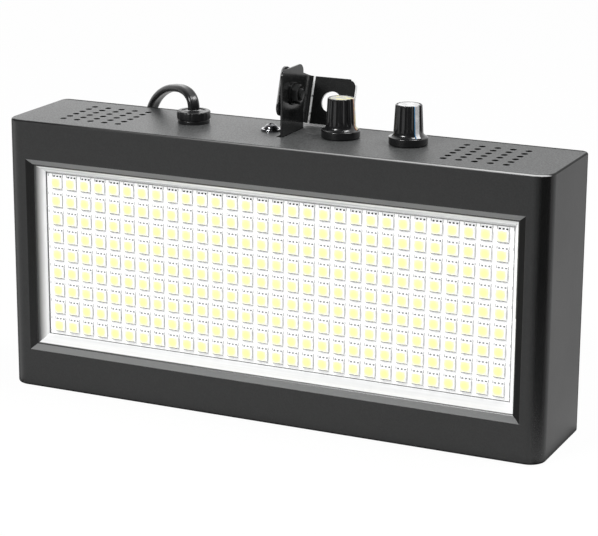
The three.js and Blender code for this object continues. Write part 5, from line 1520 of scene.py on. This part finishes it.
# %% Ground and world
def emptied(owner):
    """A cleared node tree, and whether a ray of it is the camera's, a mirrored one, or one through glass."""
    owner.use_nodes = True
    owner.node_tree.nodes.clear()
    start = Shade(owner.node_tree, None)
    outputs = start.node("ShaderNodeLightPath").socket.node.outputs
    rays = ("Is Camera Ray", "Is Glossy Ray", "Is Transmission Ray")
    return start, *(Shade(start.tree, outputs[name]) for name in rays)


def mixed(share, first, second):
    """One shader mixed with another."""
    return share.node("ShaderNodeMixShader", {}, {0: share, 1: first, 2: second}, output="Shader")


def shown(shade, kind):
    """Sends a shader to a tree's output."""
    output = shade.tree.nodes.new(kind)
    shade.tree.links.new(shade.socket, output.inputs["Surface"])


ground = mesh_object("ground", [(-3, -3, 0), (3, -3, 0), (3, 3, 0), (-3, 3, 0)], [(0, 1, 2, 3)])
ground.location.z = -0.0006
ground_look = bpy.data.materials.new("white_ground")
start, seen, mirrored, through_glass = emptied(ground_look)
spot = start.node("ShaderNodeTexCoord", output="Object")
x, y, _ = parts(spot)
right_of_case = rising(x - y * 0.12, 0.13, 0.19)
before_case = rising(-y + x * 0.15, -0.02, 0.05)
outside = (abs(x) - case_size.x / 2) | (abs(y) - case_size.y / 2)
lit = (1 - right_of_case * (before_case * 0.73 + 0.2)) * rising(outside, 1 * mm, 5 * mm)
looked_at = (seen + through_glass + mirrored * lit).clamped()
paper_colour = between(between(0.80, 0.83, noise(spot, 0.02, 2)), 0.02, mirrored)
paper = start.node("ShaderNodeBsdfDiffuse", {}, {"Color": paper_colour}, output="BSDF")
glow = start.node("ShaderNodeEmission", {}, {"Color": (1, 1, 1, 1), "Strength": 1.0}, output="Emission")
shown(mixed(looked_at * 0.965, paper, glow), "ShaderNodeOutputMaterial")
ground.data.materials.append(ground_look)
ground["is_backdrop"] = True

world = bpy.data.worlds.new("studio")
bpy.context.scene.world = world
start, seen, mirrored, through_glass = emptied(world)
white, fill, dark = (
    start.node("ShaderNodeBackground", {}, {"Color": colour, "Strength": strength}, output="Background")
    for colour, strength in (((1, 1, 1, 1), 1.0), ((0.97, 0.98, 1, 1), 0.45), ((1, 1, 1, 1), 0.06))
)
towards = parts(start.node("ShaderNodeTexCoord", output="Generated"))[1]
looked_at = (seen + through_glass + mirrored * rising(towards, -0.15, 0.35)).clamped()
shown(mixed(looked_at, mixed(mirrored, fill, dark), white), "ShaderNodeOutputWorld")
print("ground and world: ready")


# %% Lamps
def softbox(name, place, aim, width, height, power):
    """A rectangular area lamp that faces a point."""
    data = bpy.data.lights.new(name, "AREA")
    data.shape = "RECTANGLE"
    data.size, data.size_y = width, height
    data.energy = power
    lamp = bpy.data.objects.new(name, data)
    lamp.location = place
    lamp.rotation_euler = (Vector(aim) - Vector(place)).to_track_quat("-Z", "Y").to_euler()
    bpy.context.scene.collection.objects.link(lamp)


softbox("overhead", (0.5, 0.1, 1.1), (0, 0, 0.1), 0.35, 0.35, 8)
softbox("front_fill", (-0.5, -1.3, 1.35), (0, 0, 0.1), 0.6, 0.32, 24)
softbox("back_left", (-1.0, 1.3, 0.5), (-0.05, 0, 0.12), 0.9, 0.6, 1.6)
bpy.context.scene.view_settings.view_transform = "Standard"

# %% Sizes and finish
visual_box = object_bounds()
for low_or_high, cad_corner, visual_corner in zip(("low", "high"), cad_box, visual_box):
    away = [round((v - c) / mm, 2) for v, c in zip(visual_corner, cad_corner)]
    print(f"{low_or_high} corner: visual minus CAD, mm:", away)
